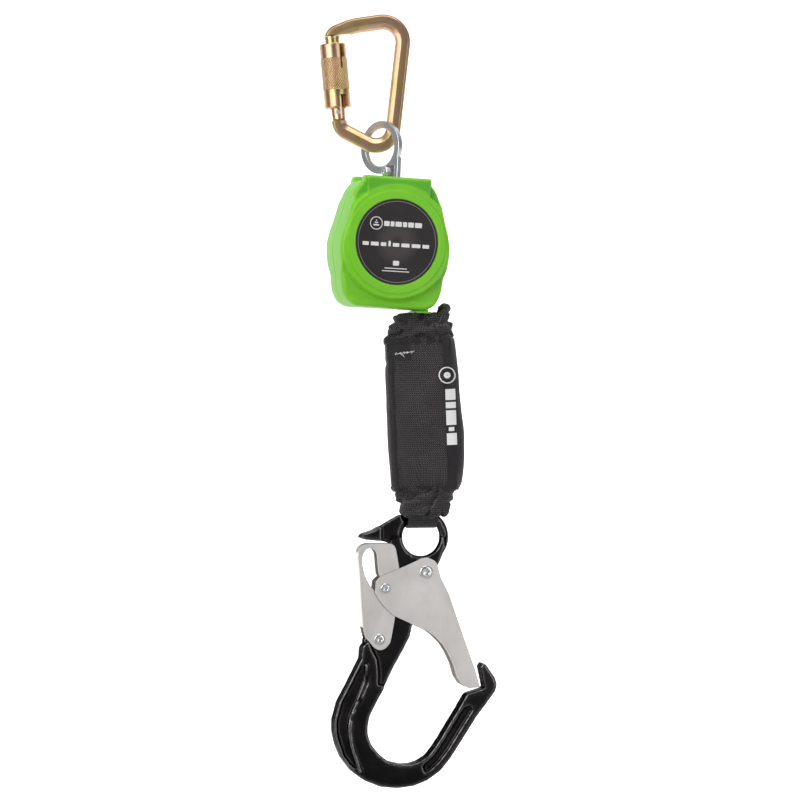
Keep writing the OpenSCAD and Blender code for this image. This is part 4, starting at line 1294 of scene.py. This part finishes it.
crumpled("bottom_ruffle_folds", [low_body, *low_puffs],
         [((9, -127), (0.5, -147), 3.4, 4.2), ((-22, -131), (-2, -127), 2.6, 2.4)], 3.7, "bottom_ruffle")


# ---------------------------------------------------------------- scaffold hook
LEVER_PIVOT = (-36, -83)
GATE_PIVOT = (2.5, -28.5)
SLOT_RIVET = (-31.5, -41.5)
# The raised rib down the left side of the forging.
RIB = [(-46.6, -104), (-47.5, -116.6), (-51.4, -127), (-54.1, -133), (-60, -145.8), (-60.6, -153.1),
       (-60.2, -161), (-58.8, -169.5), (-52.2, -189.5)]


def node_object(name):
    return next(o for o in bpy.data.objects if o.name.split(".")[0] == name)


def forged_hook():
    """The CAD forging with its edges melted by a remesh, and the rib raised on both faces."""
    src = node_object("hook_body")
    obj = bpy.data.objects.new("hook_forging", src.data.copy())
    scene.collection.objects.link(obj)
    obj.data.transform(src.matrix_world)
    remesh(obj, 1.0)
    smooth_mesh(obj, 9)

    def rib(p, n):
        if p.z > -98 or abs(n.y) < 0.3:
            return 0.0
        end = math.hypot(p.x - RIB[-1][0], p.z - RIB[-1][1])
        return max(0.0, 1 - (line_distance(p, RIB) / 1.7) ** 2) * 1.5 + max(0.0, 1 - (end / 2.8) ** 2) * 0.6

    displace(obj, rib, AT_HOOK)
    all_smooth(obj)
    dress(obj, "black_anodised", "hook", "black_anodised", "hook_body")


def rivet(name, at, half, r, rise, shank, node, body):
    """Both heads of one rivet and its shank. half is how far out the heads sit."""
    domed = [(1, 0), (1, 0.32), (0.97, 0.52), (0.88, 0.74), (0.72, 0.92), (0.55, 1), (0.46, 0.98),
             (0.40, 0.80), (0.34, 0.72), (0.16, 0.66), (0, 0.64)]
    prof = [(0, 0), (shank, 0), (shank, half)] + [(r * a, half + rise * b) for a, b in domed]
    heads = [turned(lathe(prof, 48), shift(at[0], 0, at[1]) @ rot("X", deg)) for deg in (-90, 90)]
    obj = piece(name, joined(*heads), AT_HOOK, "steel", body, "steel", node)
    sharpen(obj, 45)


forged_hook()
rivet("gate_pivot_rivet_head", GATE_PIVOT, 9.15, 5.6, 1.55, 2.5, "gate_pivot_rivet", "hook")
rivet("lever_pivot_rivet_head", LEVER_PIVOT, 7.35, 4.5, 1.35, 2.5, "lever_pivot_rivet", "hook")
rivet("gate_slot_rivet_head", SLOT_RIVET, 9.1, 4.3, 1.55, 2.4, "gate_slot_rivet", "hook_gate")


# ---------------------------------------------------------------- lock lever
def about(p, o, deg):
    """p turned about o, clockwise seen from the front."""
    a = math.radians(deg)
    dx, dz = p[0] - o[0], p[1] - o[1]
    return (o[0] + dx * math.cos(a) + dz * math.sin(a), o[1] - dx * math.sin(a) + dz * math.cos(a))


def thick_line(points, half):
    """The closed outline of a line with round ends."""
    steps = 10
    pts = [Vector(p) for p in points]
    left, right = [], []
    for i, p in enumerate(pts):
        t = (pts[min(i + 1, len(pts) - 1)] - pts[max(i - 1, 0)]).normalized()
        across = Vector((-t.y, t.x)) * half
        left.append(p + across)
        right.append(p - across)

    def round_end(centre, start):
        return [centre + Matrix.Rotation(-math.pi * k / steps, 2) @ (start - centre) for k in range(1, steps)]

    return left + round_end(pts[-1], left[-1]) + right[::-1] + round_end(pts[0], right[0])


def lock_lever():
    """Two plates with a window and a slot for the slot rivet's whole path, and the back that joins them."""
    gate_open, lever_ratio, slot_half = 38, 0.35, 2.95
    outline = [(-53, -10), (-49.5, -6), (-45, -4.5), (-25.5, -5), (-22.5, -8), (-21, -16), (-19.5, -25.5),
               (-23, -65), (-25.5, -79), (-27, -86), (-31, -90.5), (-36, -92), (-40.5, -89.5), (-43.8, -85.4),
               (-47.5, -81.5), (-49.5, -73), (-51, -50.5), (-52.5, -27), (-53.5, -16)]
    window = [(-48.6, -28.5), (-50.2, -20.5), (-49.6, -13.5), (-46.6, -9.2), (-43.3, -8.4), (-39.9, -9.7),
              (-37.9, -13), (-37.3, -21.2), (-36.5, -29.4), (-34.5, -37), (-36.5, -44.5), (-40.2, -43.6),
              (-43.9, -38.6), (-46.9, -33.0)]
    outline, window = rounded(outline, 6, 6), rounded(window, 7, 5)
    both = joined(slab(outline, 5.8, 7.3), slab(outline, -7.3, -5.8))
    plates = add("hook_lever_plates", both, AT_HOOK, False)
    cut(plates, [slab(window, -12, 12)], AT_HOOK, "MANIFOLD")
    path = [about(about(SLOT_RIVET, GATE_PIVOT, t), LEVER_PIVOT, -lever_ratio * t)
            for t in range(0, gate_open + 1, 2)]
    cut(plates, [slab(thick_line(path, slot_half), -12, 12)], AT_HOOK, "MANIFOLD")
    all_smooth(plates)
    bevel(plates, 0.35, 40)
    dress(plates, "gate_steel", "hook_lever", "gate_steel", "hook_lock_lever")
    spine = [(-53.3, -12), (-53.5, -16), (-52.5, -27), (-51, -50.5), (-49.5, -73), (-48, -73), (-49.5, -50.5),
             (-51, -27), (-52, -16), (-51.8, -12)]
    back = piece("hook_lever_back", slab(spine, -6.2, 6.2), AT_HOOK, "gate_steel", "hook_lever", "gate_steel",
                 smooth=False)
    bevel(back, 0.3)


lock_lever()

# ---------------------------------------------------------------- the other parts, straight from the CAD
FINISH = {
    "yellow_zinc": ["carabiner_gate", "eye_screw_nut"],
    "bright_zinc": ["swivel_eye", "eye_screw", "swivel_washer", "swivel_nut", "shell_screws",
                    "carabiner_gate_pin"],
    "gate_steel": ["hook_gate"],
    "steel": ["swivel_post", "sleeve_spring", "front_chassis_plate", "rear_chassis_plate", "chassis_bridge",
              "chassis_spacers", "chassis_rivets", "drum_shaft", "shaft_clips", "spring_case", "pawl_pins",
              "pawl_springs", "gate_spring", "lever_spring"],
    "dark_steel": ["ratchet_ring", "power_spring", "pawl_1", "pawl_2", "spring_arbor"],
    "brass": ["drum_bushes"],
    "label_print": ["drum_spool"],
    "green_plastic": ["web_guide"],
    "webbing": ["wound_lifeline"],
    "white_thread": ["webbing_stitches"],
}
SOFT_EDGE = {"swivel_eye": 0.55, "hook_gate": 0.38, "carabiner_gate": 0.4, "web_guide": 0.25,
             "eye_screw": 0.3, "swivel_post": 0.3, "carabiner_gate_pin": 0.3}


def finish_node(name, mat):
    """A CAD part's material, and rounded edges where it shows."""
    obj = node_object(name)
    paint(obj, mat)
    obj.modifiers.new("weld", "WELD").merge_threshold = 0.01 * MM
    if name in SOFT_EDGE:
        flat = obj.modifiers.new("planar", "DECIMATE")
        flat.decimate_type = "DISSOLVE"
        flat.angle_limit = math.radians(0.5)
        bevel(obj, SOFT_EDGE[name], 32)


for mat, names in FINISH.items():
    for name in names:
        finish_node(name, mat)
